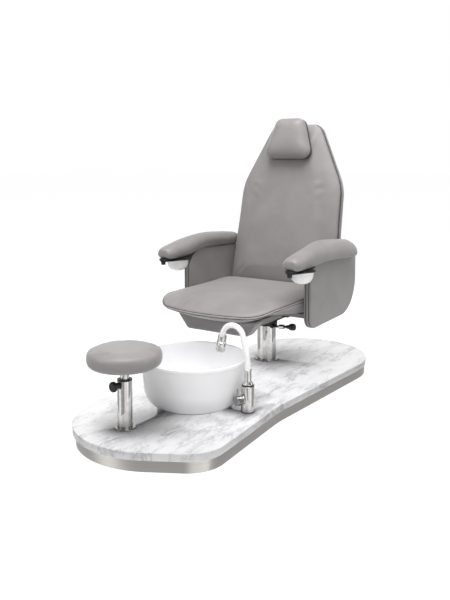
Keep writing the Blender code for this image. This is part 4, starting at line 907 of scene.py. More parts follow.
def padded(piece, stuffing, held, seams=()):
    """Stuffs a piece: an even mesh of voxels, filled by cloth under pressure wherever held(points) isn't true.

    Stuffing is the voxels' size, the furthest that a point may move, and the fill. The result is relaxed, creased
    along its seams and subdivided once.
    """
    voxel, cap, fill = stuffing
    remesh = piece.modifiers.new("even", "REMESH")
    remesh.mode = "VOXEL"
    remesh.voxel_size = voxel
    piece.data = evaluated(piece)
    piece.modifiers.clear()
    after = before = relaxed(piece.data, points_of(piece.data), RELAX_BEFORE)
    set_points(piece.data, before)
    group = piece.vertex_groups.new(name="held")
    group.add(np.flatnonzero(held(before)).tolist(), 1.0, "REPLACE")
    cloth = piece.modifiers.new("fill", "CLOTH")
    cloth.settings.quality = CLOTH_QUALITY
    cloth.settings.use_pressure = True
    cloth.settings.uniform_pressure_force = CLOTH_PRESSURE
    cloth.settings.vertex_group_mass = "held"
    cloth.settings.effector_weights.gravity = 0
    cloth.collision_settings.use_collision = False
    cloth.point_cache.frame_end = CLOTH_FRAMES
    for step in range(1, CLOTH_FRAMES + 1):
        bpy.context.scene.frame_set(step)
    move = points_of(evaluated(piece)) - before
    length = np.linalg.norm(move, axis=1, keepdims=True)
    after = before + move * np.minimum(1, cap / np.maximum(length, WELD))
    piece.modifiers.clear()
    piece.vertex_groups.clear()
    bpy.context.scene.frame_set(1)
    after = relaxed(piece.data, after, RELAX_AFTER)
    set_points(piece.data, after)
    for seam in seams:
        after = creased(after, normals_of(piece.data), seam, SEAM_DEPTH, voxel)
    set_points(piece.data, after)
    piece.data.shade_smooth()
    finer = piece.modifiers.new("finer", "SUBSURF")
    finer.levels = finer.render_levels = 1
    return piece


def build_platform():
    """The marble slab with its rounded lip, and the brushed band below it."""
    outline = belt(PLATFORM, PLATFORM_POINTS)
    _, bottom, top = stand("marble_slab")
    holes = [
        circle(COLUMN, stand("column_tube")[0]),
        circle(FOOT, stand("footrest_post")[0]),
        circle(BASIN, WASTE_RADIUS),
        circle(TAP, TAP_SHANK),
    ]
    slab = inset(outline, -SLAB_SPREAD) + SLAB_SHIFT
    slab = plate("marble_top", slab, plate_edge(bottom, top, SLAB_LIP, 2 * SLAB_LIP), holes)
    dress(slab, "marble", "platform", "marble_slab")
    _, bottom, top = stand("plinth_band")
    near, far = PLINTH_INSET, PLINTH_INSET + PLINTH_WALL
    band = rounded([(near, bottom), (near, top), (far, top), (far, bottom)], PLINTH_LIP, closed=True)
    rows = [level(inset(outline, depth), height) for depth, height in band]
    dress(skin("plinth", rows, joined=True), "brushed_steel", "platform", "plinth_band")


def sleeve(name, node, wall, at, rise=0.0):
    """A plated tube with eased ends."""
    radius, bottom, top = stand(node)
    lathe(name, washer(radius, radius - wall, bottom, top + rise), "chrome", "platform", node, ring=True, at=at)


def flange(name, node, bore, at):
    """A thin foot ring with a sloped side and a soft top edge."""
    radius, bottom, top = stand(node)
    ring = [(radius, bottom), (radius - FLANGE_SLOPE, top), (bore, top), (bore, bottom)]
    lathe(name, ring, "chrome", "platform", node, ring=True, at=at, look=RING_FINISH)


def build_column():
    """The column: a plated tube with a black liner in its mouth, the piston, and the hub's neck in the liner."""
    radius, _, top = stand("column_tube")
    piston = stand("column_piston")[0]
    sleeve("column_sleeve", "column_tube", COLUMN_WALL, COLUMN, COLUMN_RISE)
    flange("column_foot", "column_flange", radius, COLUMN)
    reach, under, head = stand("seat_hub")
    inner, room, bore = radius - COLUMN_WALL - FINE_EDGE, HUB_NECK + FINE_EDGE, piston + FINE_EDGE
    foot, seat, lip = stand("column_bush")[1], under - EDGE, top + COLUMN_RISE + LINER_LIP
    liner = [(inner, foot), (inner, lip), (room, lip), (room, seat), (bore, seat), (bore, foot)]
    lathe("column_liner", liner, "black_plastic", "platform", "column_bush", edge=FINE_EDGE, ring=True)
    lathe("piston", rod(*stand("column_piston")), "chrome", "lift", "column_piston")
    step = lip + EDGE
    hub = [(piston, under), (HUB_NECK, under), (HUB_NECK, step), (reach, step), (reach, head), (piston, head)]
    lathe("hub", hub, "black_steel", "seat", "seat_hub", edge=FINE_EDGE, ring=True)
    heading = np.array((np.cos(SET_SCREW_ANGLE), np.sin(SET_SCREW_ANGLE), 0))
    screw = [(r * SET_SCREW_RADIUS, h * SET_SCREW_RADIUS + rise) for r, h, rise in SET_SCREW]
    lathe("set_screw", screw, "black_plastic", "platform", "column_set_screw", edge=FINE_EDGE / 2,
          at=heading * radius + UP * SET_SCREW_HEIGHT, axis=heading, steps=36)


def build_lever():
    """The height lever: an eye on its pin, a stepped plated rod that rises outwards and a flared black grip."""
    pivot = np.array(JOINTS["lift_lever"]["pos_m"])
    half = LEVER_EYE_THICKNESS / 2
    eye = washer(LEVER_EYE_RADIUS, LEVER_PIN_RADIUS, -half, half)
    lathe("lever_eye", eye, "black_steel", "lever", "lever_rod", ring=True, at=pivot, axis=AHEAD, steps=48)
    heading = RIGHT * np.cos(LEVER_RISE) + UP * np.sin(LEVER_RISE)
    arm = rod(LEVER_ROD_RADIUS, LEVER_EYE_RADIUS * 0.8, LEVER_LENGTH)
    lathe("lever_arm", arm, "black_steel", "lever", edge=FINE_EDGE, at=pivot, axis=heading, steps=36)
    collar = washer(LEVER_COLLAR_RADIUS, LEVER_ROD_RADIUS - FINE_EDGE, *LEVER_COLLAR)
    lathe("lever_collar", collar, "chrome", "lever", ring=True, at=pivot, axis=heading, steps=48)
    start = LEVER_LENGTH - LEVER_KNOB_LENGTH * LEVER_SOCKET
    grip = [(r * LEVER_KNOB_RADIUS, start + h * LEVER_KNOB_LENGTH) for r, h in LEVER_GRIP]
    lathe("lever_grip", grip, "black_plastic", "lever", "lever_knob", edge=LEVER_GRIP_EDGE, at=pivot, axis=heading,
          steps=48)


def seat_outline():
    """A wide front arc, two rounded front corners inside it and two rear corners."""
    corner_x = SEAT_HALF_WIDTH - SEAT_CORNER
    arc_y = SEAT_FRONT_RADIUS - SEAT_FRONT
    corner_y = arc_y - np.sqrt((SEAT_FRONT_RADIUS - SEAT_CORNER) ** 2 - corner_x**2)
    rear_x, rear_y = SEAT_HALF_WIDTH - SEAT_REAR_CORNER, SEAT_REAR - SEAT_REAR_CORNER
    return belt([
        (0, arc_y, SEAT_FRONT_RADIUS, 1),
        (corner_x, corner_y, SEAT_CORNER, 1),
        (rear_x, rear_y, SEAT_REAR_CORNER, 1),
        (-rear_x, rear_y, SEAT_REAR_CORNER, 1),
        (-corner_x, corner_y, SEAT_CORNER, 1),
    ], SEAT_POINTS)


def seat_droop(y):
    """How far the cushion's edge hangs lower towards the front."""
    return SEAT_DROOP * ease((-y - SEAT_DROOP_START) / SEAT_DROOP_LENGTH)


def under_taper(y):
    """How much narrower the cushion's underside gets towards the front, where the apron carries it."""
    return 1 - SEAT_UNDER_TAPER * ease((-y - SEAT_UNDER_START) / SEAT_UNDER_LENGTH)


def build_seat():
    """The seat cushion: a crowned top sewn to a side band with piping, its underside drawn in to the board."""
    bottom = stand("seat_cushion")[1]
    edge = bottom + SEAT_EDGE_HEIGHT
    outline = seat_outline()
    middle = (0, (SEAT_REAR - SEAT_FRONT) / 2)
    under_rear = SEAT_REAR - SEAT_REAR_CORNER

    def ring(loop, height, share):
        return np.c_[loop, height - share * seat_droop(loop[:, 1])]

    def drawn_under(across, front, rear):
        along = (rear - front) / (SEAT_REAR + SEAT_FRONT)
        x, y = outline.T
        return np.c_[x * across * under_taper(y), rear + (y - SEAT_REAR) * along]

    rows = [
        ring(drawn_under(0.72, SEAT_UNDER_FRONT * 0.8, under_rear * 0.2), bottom, 0),
        ring(drawn_under(0.90, SEAT_UNDER_FRONT, under_rear), bottom, 0),
        ring(inset(outline, SEAT_BAND / 3), edge - SEAT_BAND, 1),
        ring(outline, edge, 1),
        ring(inset(outline, SEAT_BAND), edge + SEAT_CROWN * 0.34, 1),
    ]
    rows += [ring(shrunk(outline, share, middle), edge + SEAT_CROWN * rise, droop)
             for share, rise, droop in ((0.87, 0.72, 0.8), (0.70, 0.96, 0.4), (0.45, 1, 0))]
    seam = ring(inset(outline, SEAT_BAND / 4), edge, 1)
    lower_seam = ring(inset(outline, SEAT_BAND / 2), edge - SEAT_BAND * 1.4, 1)
    cushion = skin("seat_pad", spline(rows, 48))
    padded(cushion, SEAT_STUFFING, lambda p: p[:, 2] < edge + SEAT_HELD - seat_droop(p[:, 1]), [seam, lower_seam])
    dress(cushion, "upholstery", "seat", "seat_cushion")
    # The piping's lighter finish is a painted highlight
    cord("seat_piping", laid_on(cushion, seam - UP * SEAM_DROP, FINE_EDGE), UP, "seat", PIPING, 12, PIPING_HIGHLIGHT_FINISH)
    # Near-black cords along the top and lower seams: painted shade of the seam creases
    cord("seat_top_seam", laid_on(cushion, seam + UP * FINE_EDGE, 0), UP, "seat")
    cord("seat_lower_seam", laid_on(cushion, lower_seam, 0), UP, "seat")


def build_apron():
    """The tapered front panel under the seat."""
    _, bottom, top = stand("seat_apron")
    top += APRON_TUCK
    outline = trapezium(bottom, top, APRON_HALF_WIDTH, APRON_HALF_WIDTH + APRON_FLARE, APRON_CORNER, APRON_EDGE)
    middle = (0, (top + bottom) / 2)
    back = APRON_FRONT + APRON_THICKNESS
    rows = [
        facing(shrunk(outline, 0.8, middle), back),
        facing(outline, back),
        facing(outline, APRON_FRONT + APRON_EDGE),
        facing(inset(outline, APRON_EDGE / 2), APRON_FRONT),
        facing(shrunk(outline, 0.6, middle), APRON_FRONT - APRON_CROWN),
    ]
    dress(skin("front_apron", spline(rows, 30)), "upholstery", "seat", "seat_apron")


def build_underside():
    """The padded cover below the seat board: a tapered section carried back from the apron to the mechanism."""
    bottom, top = UNDERSIDE_BOTTOM, stand("seat_board")[1] - FINE_EDGE
    outline = trapezium(bottom, top, UNDERSIDE_HALF_WIDTH, UNDERSIDE_TOP_HALF_WIDTH, UNDERSIDE_CORNER,
                        UNDERSIDE_TOP_CORNER)
    middle = (0, (top + bottom) / 2)
    stations = [(0.7, UNDERSIDE_REAR), (0.96, UNDERSIDE_REAR), (1, UNDERSIDE_REAR - APRON_EDGE), (1, UNDERSIDE_FRONT),
                (0.7, UNDERSIDE_FRONT)]
    rows = [facing(shrunk(outline, share, middle), y) for share, y in stations]
    dress(skin("seat_underside", rows), "upholstery", "seat")


def build_arm(name, side):
    """An arm panel: two faces sewn to a narrow strip, with a groove in the strip along each seam and a near-black cord
    in each groove as painted shade.
    """
    outline = belt(ARM_OUTLINE, ARM_POINTS)
    outer = ARM_INNER + ARM_THICKNESS
    middle = ARM_INNER + ARM_THICKNESS / 2

    def ring(loop, x):
        return np.c_[np.full(len(loop), side * x), loop]

    seams = [ARM_INNER + ARM_SEAM, outer - ARM_SEAM]
    section = [(3 * ARM_EDGE, ARM_INNER), (ARM_EDGE * 0.6, ARM_INNER), (FINE_EDGE, ARM_INNER + ARM_EDGE)]
    section += groove(seams[0]) + [(0, middle)] + groove(seams[1])
    section += [(FINE_EDGE, outer - ARM_EDGE), (ARM_EDGE * 0.6, outer), (3 * ARM_EDGE, outer + FINE_EDGE)]
    rows = [ring(shrunk(outline, share, ARM_CENTRE), ARM_INNER) for share in (0.2, 0.5, 0.8)]
    rows += [ring(inset(outline, depth), x) for depth, x in rounded(section, ARM_ROUNDING)]
    rows += [ring(shrunk(outline, share, ARM_CENTRE), outer + ARM_CROWN * rise)
             for share, rise in ((0.8, 0.55), (0.5, 0.9), (0.2, 1.0))]
    panel = skin("arm_side_" + name, rows)
    dress(panel, "upholstery", "seat", "arm_panel_" + name)
    # A near-black cord in each groove: painted shade of the groove
    for place, x in zip(("inner", "outer"), seams):
        path = ring(inset(outline, ARM_GROOVE_DEPTH - SEAM_SHADE_RADIUS / 2), x)
        cord("arm_seam_{}_{}".format(place, name), path, RIGHT, "seat")
    build_arm_pad(name, side)
    build_hand_bowl(name)


def groove(x):
    """The inset and place of a sewn groove's edges and bottom across an arm panel's strip."""
    half = ARM_GROOVE / 2
    edges = [x - half, x - half / 3, x + half / 3, x + half]
    return list(zip((FINE_EDGE, ARM_GROOVE_DEPTH, ARM_GROOVE_DEPTH, FINE_EDGE), edges))


def pad_nose(y):
    """Goes from 0 on the panel to 1 along the pad's nose."""
    return ease((PAD_NOSE_START - y) / PAD_NOSE_LENGTH)


def pad_underside(across, y):
    """The height of a pad's underside: lower and level at the nose, sloping outwards and to the rear behind it."""
    behind = np.clip((y - PAD_SHOULDER) / (PAD_HEEL - PAD_SHOULDER), 0, 1)
    slope = PAD_TILT * (1 - pad_nose(y)) * (across - PAD_REST)
    return PAD_BOTTOM - PAD_NOSE_DROP * pad_nose(y) - PAD_REAR_DROP * behind - slope


def build_arm_pad(name, side):
    """An arm pad: sections flat below and round above, drawn in at both ends and dropped at the nose."""
    along, share = np.array(PAD_STATIONS).T
    y = PAD_REAR - along * (PAD_REAR + PAD_TIP)
    arch = PAD_ARCH * (1 - 2 * along) ** 2
    tip = PAD_TIP_DROP * ease((along - PAD_TIP_START) / (1 - PAD_TIP_START))
    height = PAD_HEIGHT - arch + (PAD_NOSE_HEIGHT - PAD_HEIGHT) * pad_nose(y) - tip
    half = np.array(PAD_SECTION)
    section = np.vstack([half, half[-2:0:-1] * (-1, 1)])
    centre = PAD_X + PAD_SPLAY * ease((y - PAD_SPLAY_START) / PAD_SPLAY_LENGTH)
    across = centre[:, None] + PAD_HALF_WIDTH * share[:, None] * section[None, :, 0]
    y = np.broadcast_to(y[:, None], across.shape)
    drawn_to = np.where(along < 0.5, 0.25, 0.5)
    lift = (height * drawn_to * (1 - share))[:, None] + (height * share)[:, None] * section[None, :, 1]
    rows = spline(np.stack([side * across, y, pad_underside(across, y) + lift], -1), 90)
    rows = spline(rows.transpose(1, 0, 2), 96, closed=True).transpose(1, 0, 2)

    def held(points):
        return points[:, 2] < pad_underside(side * points[:, 0], points[:, 1]) + PAD_HELD

    pad = padded(skin("arm_rest_" + name, rows), PAD_STUFFING, held)
    dress(pad, "upholstery", "seat", "arm_pad_" + name)


def build_hand_bowl(name):
    """The black tray under a pad's nose, its hinge stud, the carrier and the white bowl that hangs in it."""
    body = name + "_hand_bowl"
    x, y = JOINTS[name + "_bowl_swing"]["pos_m"][:2]
    centre = (x, y + BOWL_REACH)
    _, under, top = stand("bowl_tray_" + name)
    sheet = top - TRAY_THICKNESS
    corner, end = TRAY_HALF_WIDTH - SMALL_CORNER, -TRAY_END - SMALL_CORNER
    outline = belt([(x, y, TRAY_HALF_WIDTH * 0.6, 1), (x + corner, end, SMALL_CORNER, 1),
                    (x - corner, end, SMALL_CORNER, 1)], TRAY_POINTS)
    tray = plate("tray_" + name, outline, plate_edge(sheet, top + TRAY_TUCK, FINE_EDGE, 2 * EDGE))
    dress(tray, "black_plastic", "seat", "bowl_tray_" + name)
    _, bottom, top = stand("bowl_carrier_" + name)
    head = bottom - FINE_EDGE / 2
    stud = [(0, sheet), (STUD_RADIUS, sheet), (STUD_RADIUS, head), (STUD_HEAD, head), (STUD_HEAD, under), (0, under)]
    lathe("hinge_stud_" + name, stud, "black_plastic", "seat", edge=FINE_EDGE, at=(x, y, 0), steps=48)
    wall, hole = HAND_BOWL_WALL, HAND_BOWL_RADIUS - HAND_BOWL_WALL
    outline = belt([(*centre, HAND_BOWL_RADIUS + CARRIER_RIM, 1), (x, y, EYE_RADIUS, 1)], CARRIER_POINTS)
    holes = [circle((x, y), STUD_RADIUS + FINE_EDGE), circle(centre, hole)]
    carrier = plate("carrier_" + name, outline, plate_edge(bottom, top, FINE_EDGE, 2 * EDGE), holes)
    dress(carrier, "black_plastic", body, "bowl_carrier_" + name)
    angle = np.radians(np.linspace(0, 90, 24))
    swing = np.stack([np.cos(angle) ** HAND_BOWL_FULLNESS, -np.sin(angle) ** HAND_BOWL_FULLNESS], 1)
    inside = swing[::-1] * (hole - wall, HAND_BOWL_DEPTH - wall)
    lip = [(hole - wall, wall / 2), (HAND_BOWL_RADIUS - FINE_EDGE, wall / 2), (HAND_BOWL_RADIUS, wall / 4),
           (HAND_BOWL_RADIUS, 0)]
    profile = np.vstack([inside, lip, swing * (hole, HAND_BOWL_DEPTH)])
    rows = turned(profile, (*centre, bottom - wall / 2))
    dress(skin("manicure_bowl_" + name, rows), "white_plastic", body, "hand_bowl_" + name)


def on_back(loop, out):
    """Points of the leaning back: across and up from the loop, and out from the seam plane."""
    return BACK_PIVOT + loop[:, :1] * RIGHT + loop[:, 1:] * BACK_UP + out * BACK_OUT


def build_back():
    """The back: a full front cushion and a firm rear shell, with a near-black cord along the seam between them as
    painted shade.
    """
    outline = belt(BACK_RIGHT + [(-x, y, radius, side) for x, y, radius, side in BACK_RIGHT[::-1]], BACK_POINTS)
    middle = (0, BACK_FOOT + BACK_HEIGHT * 0.45)
    upper = (0, BACK_FOOT + BACK_HEIGHT * 0.53)
    deep, thick = CUSHION_DEPTH, SHELL_DEPTH
    fuller = (1 + SHELL_BULGE / outline[:, 0].max(), 1)
    rows = [
        on_back(shrunk(outline, 0.85, middle), FINE_EDGE / 2),
        on_back(inset(outline, -SEAM_INSET), FINE_EDGE / 2),
        on_back(inset(outline, -CUSHION_SWELL), deep * 0.25),
        on_back(inset(outline, SEAM_INSET), deep * 0.62),
        on_back(shrunk(outline, 0.86, middle), deep * 0.93),
        on_back(shrunk(outline, 0.75, upper), deep * 0.99),
        on_back(shrunk(outline, 0.62, upper), deep),
    ]
    cushion = skin("back_pad", spline(rows, 44))
    padded(cushion, BACK_STUFFING, lambda p: (p - BACK_PIVOT) @ BACK_OUT < deep * BACK_HELD)
    dress(cushion, "upholstery", "back", "back_cushion")
    rows = [
        on_back(shrunk(outline, 0.85, middle), 0),
        on_back(outline, 0),
        on_back(inset(outline, -SEAM_INSET) * fuller, -thick * 0.45),
        on_back(inset(outline, SEAM_INSET) * fuller, -thick * 0.90),
        on_back(inset(outline, 10 * SEAM_INSET), -thick),
        on_back(shrunk(outline, 0.50, middle), -thick),
    ]
    shell = skin("back_casing", spline(rows, 40))
    dress(shell, "upholstery", "back", "back_shell")
    # Near-black cord on the seam: painted shade of the gap between cushion and shell
    cord("back_seam", on_back(inset(outline, -SEAM_INSET), 0), BACK_OUT, "back")
    build_pillow()


def build_pillow():
    """The head pillow: a soft trapezium with round corners, fullest across its middle, and a near-black cord round its
    foot as painted shade under its edge.
    """
    outline = trapezium(PILLOW_FOOT, PILLOW_FOOT + PILLOW_HEIGHT, PILLOW_HALF_WIDTH, PILLOW_TOP_HALF_WIDTH,
                        PILLOW_CORNER, PILLOW_CORNER)
    middle = (0, PILLOW_FOOT + PILLOW_HEIGHT * 0.48)

    def ring(loop, share):
        return on_back(loop, PILLOW_BASE + PILLOW_DEPTH * share)

    rows = [
        ring(shrunk(outline, 0.60, middle), 0),
        ring(shrunk(outline, 0.84, middle), 0),
        ring(inset(outline, 0.004), 0.22),
        ring(outline, 0.50),
        ring(inset(outline, 0.010), 0.72),
        ring(shrunk(outline, 0.72, middle), 0.95),
        ring(shrunk(outline, 0.38, middle), 1.0),
    ]
    pillow = skin("head_rest", spline(rows, 40))
    padded(pillow, PILLOW_STUFFING, lambda p: (p - BACK_PIVOT) @ BACK_OUT < PILLOW_BASE + PILLOW_HELD)
    dress(pillow, "upholstery", "pillow", "head_pillow")
    # Near-black cord round the pillow's foot: painted shadow under its edge
    path = ring(inset(outline, PILLOW_SHADE_CORD_INSET), PILLOW_SHADE_CORD_SHARE)
    cord("head_rest_welt", path, BACK_OUT, "pillow", PILLOW_SHADE_CORD, 12)


def build_basin():
    """The foot bowl: a flat base, a quarter ellipse up to the flank, a straight wall and a stepped lip."""
    _, bottom, top = stand("foot_bowl")
    height, wall, spread = top - bottom, BOWL_WALL, BOWL_FLANK - BOWL_BASE
    angle = np.radians(np.linspace(0, BOWL_SWEEP, 30))[:, None]
    swing = np.hstack([np.sin(angle), 1 - np.cos(angle)])
    outside = swing * (spread, BOWL_FLANK_HEIGHT) + (BOWL_BASE, 0)
    inside = swing * (spread, BOWL_FLANK_HEIGHT - BOWL_FLOOR) + (BOWL_BASE - wall, BOWL_FLOOR)
    lip = height - BOWL_LIP
    rim = rounded([(BOWL_RIM - LIP_STEP * 1.6, lip - LIP_DROP), (BOWL_RIM - LIP_STEP, lip), (BOWL_RIM, lip + LIP_STEP),
                   (BOWL_RIM, height), (BOWL_RIM - wall, height), (BOWL_RIM - wall, lip)], LIP_EDGE)
    profile = np.vstack([[(WASTE_RADIUS, 0)], outside, rim, inside[::-1], [(WASTE_RADIUS, BOWL_FLOOR)]])
    rows = turned(profile, (*BASIN[:2], bottom), steps=160)
    dress(skin("basin", rows, True), "white_ceramic", "platform", "foot_bowl")
    _, bottom, top = stand("bowl_gasket")
    gasket = washer(BOWL_BASE + GASKET_LIP, WASTE_RADIUS, bottom, top)
    lathe("basin_gasket", gasket, "rubber", "platform", "bowl_gasket", ring=True, at=BASIN, steps=128)
    reach, bottom, top = stand("bowl_waste")
    under = top - WASTE_LIP
    waste = [(WASTE_RADIUS, bottom), (WASTE_RADIUS, under), (reach, under), (reach, top), (WASTE_BORE, top),
             (WASTE_BORE, bottom)]
    lathe("waste_fitting", waste, "chrome", "platform", "bowl_waste", ring=True, at=BASIN)
    reach, bottom, top = stand("waste_plug")
    under = top - PLUG_THICKNESS
    stem = [(0, bottom), (PLUG_STEM, bottom), (PLUG_STEM, under), (reach, under), (reach, under + PLUG_SIDE)]
    inwards = np.linspace(1, 0, 12)
    dome = np.stack([reach * 0.97 * inwards, top - PLUG_DOME * inwards**2], 1)
    dress(skin("waste_cap", turned(np.vstack([stem, dome]), BASIN)), "chrome", "plug", "waste_plug")


def build_tap():
    """The tap: a plated body with its mixer boss, a coned collar, a white gooseneck and a plated spray head."""
    for name, node, bore, slot in (("tap_foot", "tap_seal", TAP_SHANK, "rubber"),
                                   ("tap_gasket", "tap_ring", COLLAR_RADIUS / 2, "black_plastic")):
        radius, bottom, top = stand(node)
        lathe(name, washer(radius, bore, bottom, top), slot, "platform", node, ring=True, at=TAP)
    _, bottom, top = stand("tap_body")
    seal = stand("tap_seal")[2]
    body = [(0, bottom), (TAP_SHANK, bottom), (TAP_SHANK, seal), (TAP_RADIUS, seal), (TAP_RADIUS, top), (0, top)]
    lathe("tap_column", body, "chrome", "platform", "tap_body", at=TAP)
    mixer = np.array(JOINTS["mixer_turn"]["pos_m"])
    heading = -np.array(JOINTS["mixer_turn"]["axis"])
    boss = rod(MIXER_BOSS_RADIUS, MIXER_BOSS_START, MIXER_START - FINE_EDGE / 2)
    lathe("mixer_boss", boss, "chrome", "platform", edge=FINE_EDGE, at=mixer, axis=heading, steps=64)
    radius, end = MIXER_RADIUS, MIXER_START + MIXER_LENGTH
    cap = [(0, MIXER_START), (radius, MIXER_START), (radius, end), (radius * 0.62, end),
           (radius * 0.56, end - FINE_EDGE), (0, end - FINE_EDGE)]
    lathe("mixer_barrel", cap, "chrome", "mixer", "mixer_cap", at=mixer, axis=heading, steps=72, look=MIXER_FINISH)
    foot = mixer + heading * (MIXER_START + MIXER_LENGTH * MIXER_PIN_PLACE)
    pin = rod(MIXER_PIN_RADIUS, radius * 0.9, stand("mixer_pin")[2] - mixer[2])
    lathe("mixer_handle", pin, "chrome", "mixer", "mixer_pin", edge=MIXER_PIN_RADIUS * 0.8, at=foot, steps=36,
          look=MIXER_FINISH)
    build_spout()


def build_spout():
    """The gooseneck leans from the collar as a square curve, then turns over in an ellipse to the spray head."""
    _, bottom, top = stand("spout_collar")
    foot, neck = TAP_RADIUS - 2 * FLANGE_SLOPE, COLLAR_RADIUS * 0.92
    cone, band, socket = bottom + COLLAR_CONE, top - COLLAR_BAND, top - COLLAR_SOCKET
    collar = [(0, bottom), (foot, bottom), (foot, bottom + COLLAR_STEP), (neck, cone), (neck, band - COLLAR_STEP),
              (COLLAR_RADIUS, band), (COLLAR_RADIUS, top), (SPOUT_RADIUS, top), (SPOUT_RADIUS, socket), (0, socket)]
    lathe("collar", collar, "chrome", "spout_swivel", "spout_collar", at=TAP)
    end = np.array(JOINTS["spray_twist"]["pos_m"])
    axis = np.array(JOINTS["spray_twist"]["axis"])
    middle = end[0] + CROOK_RADIUS
    lean = TAP[0] - middle - CROOK_RADIUS
    start, spring = top + SPOUT_RADIUS / 2, SPOUT_TOP - CROOK_RISE
    share = np.linspace(0, 1, 30)
    angle = np.radians(np.linspace(0, CROOK_TURN, 60))
    tail = end - axis * SPRAY_SOCKET
    x = np.concatenate([[TAP[0]], TAP[0] - lean * share**2, middle + CROOK_RADIUS * np.cos(angle), [tail[0]]])
    z = np.concatenate([[socket], start + (spring - start) * share, spring + CROOK_RISE * np.sin(angle), [tail[2]]])
    route = respaced(facing(np.stack([x, z], 1), TAP[1]), 160)
    route = spline(route[::4], 160)
    dress(skin("gooseneck", tube(route, SPOUT_RADIUS, AHEAD, sides=40)), "white_plastic", "spout_swivel", "spout")
    radius, far, face, mouth = SPRAY_RADIUS, -SPRAY_LENGTH, NOZZLE_THICKNESS - SPRAY_LENGTH, SPRAY_RADIUS * 0.84
    head = [(SPOUT_RADIUS, 0)] + [(radius * share, -down) for share, down in SPRAY_STEPS]
    head += [(radius, far), (mouth, far), (mouth, face), (0, face), (0, -SPRAY_SOCKET), (SPOUT_RADIUS, -SPRAY_SOCKET)]
    lathe("spray_barrel", head, "chrome", "spray", "spray_head", edge=FINE_EDGE, ring=True, at=end, axis=axis,
          steps=80)
    disc = rod(mouth, face, far)
    lathe("spray_face", disc, "black_plastic", "spray", "spray_nozzle", edge=FINE_EDGE, at=end, axis=axis, steps=64)


def build_footrest():
    """The footrest: a plated post with its clamp knob, a sliding stem, a plate and a round pad."""
    radius, _, top = stand("footrest_post")
    stem = stand("footrest_stem")[0]
    sleeve("post_sleeve", "footrest_post", POST_WALL, FOOT)
    flange("post_foot", "footrest_flange", radius, FOOT)
    outer, bottom, lip = stand("footrest_bush")
    inner = outer - POST_WALL
    liner = [(outer, top), (outer, lip), (stem, lip), (stem, bottom), (inner, bottom), (inner, top)]
    lathe("post_liner", liner, "black_plastic", "platform", "footrest_bush", ring=True, at=FOOT)
    lathe("stem", rod(*stand("footrest_stem")), "chrome", "footrest_lift", "footrest_stem", at=FOOT)
    reach, bottom, top = stand("footrest_plate")
    neck, thin, thick = stem * 1.4, PAD_PLATE_EDGE, PAD_PLATE_NECK
    profile = [(0, bottom), (neck, bottom), (neck, top - thick), (reach, top - thin), (reach, top), (0, top)]
    lathe("pad_plate", profile, "black_steel", "footrest_top", "footrest_plate", at=FOOT)
    _, bottom, top = stand("footrest_pad")
    profile = spline([(PAD_RADIUS * r, bottom + (top - bottom) * h) for r, h in FOOT_PAD_SECTION], 60)
    pad = skin("foot_cushion", turned(profile, FOOT, steps=160))
    padded(pad, PAD_STUFFING, lambda p: p[:, 2] < bottom + FOOT_PAD_HELD)
    dress(pad, "upholstery", "footrest_top", "footrest_pad")
    axis = np.array(JOINTS["clamp_turn"]["pos_m"])
    heading = np.array(JOINTS["clamp_turn"]["axis"])
    far = radius + BOSS_LENGTH
    boss = washer(BOSS_RADIUS, CLAMP_SCREW, radius - FINE_EDGE, far)
    lathe("clamp_socket", boss, "black_plastic", "platform", "clamp_boss", ring=True, at=axis, axis=heading, steps=64)
    screw, reach, start = CLAMP_SCREW - FINE_EDGE, CLAMP_KNOB_RADIUS, far + FINE_EDGE
    end = start + CLAMP_KNOB_LENGTH
    knob = rounded([(0, stem), (screw, stem), (screw, start), (reach * 0.85, start), (reach, start + KNOB_FRONT),
                    (reach, end - KNOB_BACK), (reach * 0.8, end), (0, end)], KNOB_EDGE)
    rows = turned(knob, axis, heading, 120, KNOB_FLUTES, KNOB_FLUTE_DEPTH)
    dress(skin("clamp_grip", rows), "black_plastic", "clamp", "clamp_knob")


def keep_solids():
    """Gives the CAD nodes that stay in view their finishes."""
    kept = {
        "plywood": ["base_board", "platform_core"],
        "upholstery": ["seat_board"],
        "brushed_steel": ["waste_nut", "tap_nut", "hinge_rod", "hinge_plate_left", "hinge_plate_right",
                          "hinge_leaf_left", "hinge_leaf_right"],
        "black_steel": ["mechanism_plate", "support_arm_left", "support_arm_right", "lever_clevis"],
    }
    for slot, nodes in kept.items():
        for node in nodes:
            materials = frame["nodes"][node].data.materials
            materials.clear()
            materials.append(FINISHES[slot])


def build_camera():
    data = bpy.data.cameras.new("camera")
    data.lens = LENS
    data.sensor_width = FRAME_WIDTH
    data.shift_y = FRAME_SHIFT
    camera = bpy.data.objects.new("camera", data)
    camera.location = EYE
    camera.rotation_euler = (np.pi / 2 - PITCH, 0, HEADING)
    bpy.context.scene.collection.objects.link(camera)
    bpy.context.scene.camera = camera


def softbox(name, at, towards, size, power, shadows):
    """A square area lamp that looks at a point."""
    data = bpy.data.lights.new(name, "AREA")
    data.shape = "SQUARE"
    data.size = size
    data.energy = power
    data.use_shadow = shadows
    lamp = bpy.data.objects.new(name, data)
    lamp.visible_glossy = shadows
    lamp.location = at
    lamp.rotation_euler = (Vector(towards) - Vector(at)).to_track_quat("-Z", "Y").to_euler()
    bpy.context.scene.collection.objects.link(lamp)
    return lamp


def lamp_group(name, pieces, state="INCLUDE"):
    """The pieces that a lamp lights, or with EXCLUDE the ones that it leaves to others."""
    group = bpy.data.collections.new(name)
    for place, piece in enumerate(pieces):
        group.objects.link(bpy.data.objects[piece])
        group.collection_objects[place].light_linking.link_state = state
    return group


def emptied(owner):
    """The node tree of a material or a world, with nothing in it."""
    owner.use_nodes = True
    owner.node_tree.nodes.clear()
    return Shade(owner.node_tree)


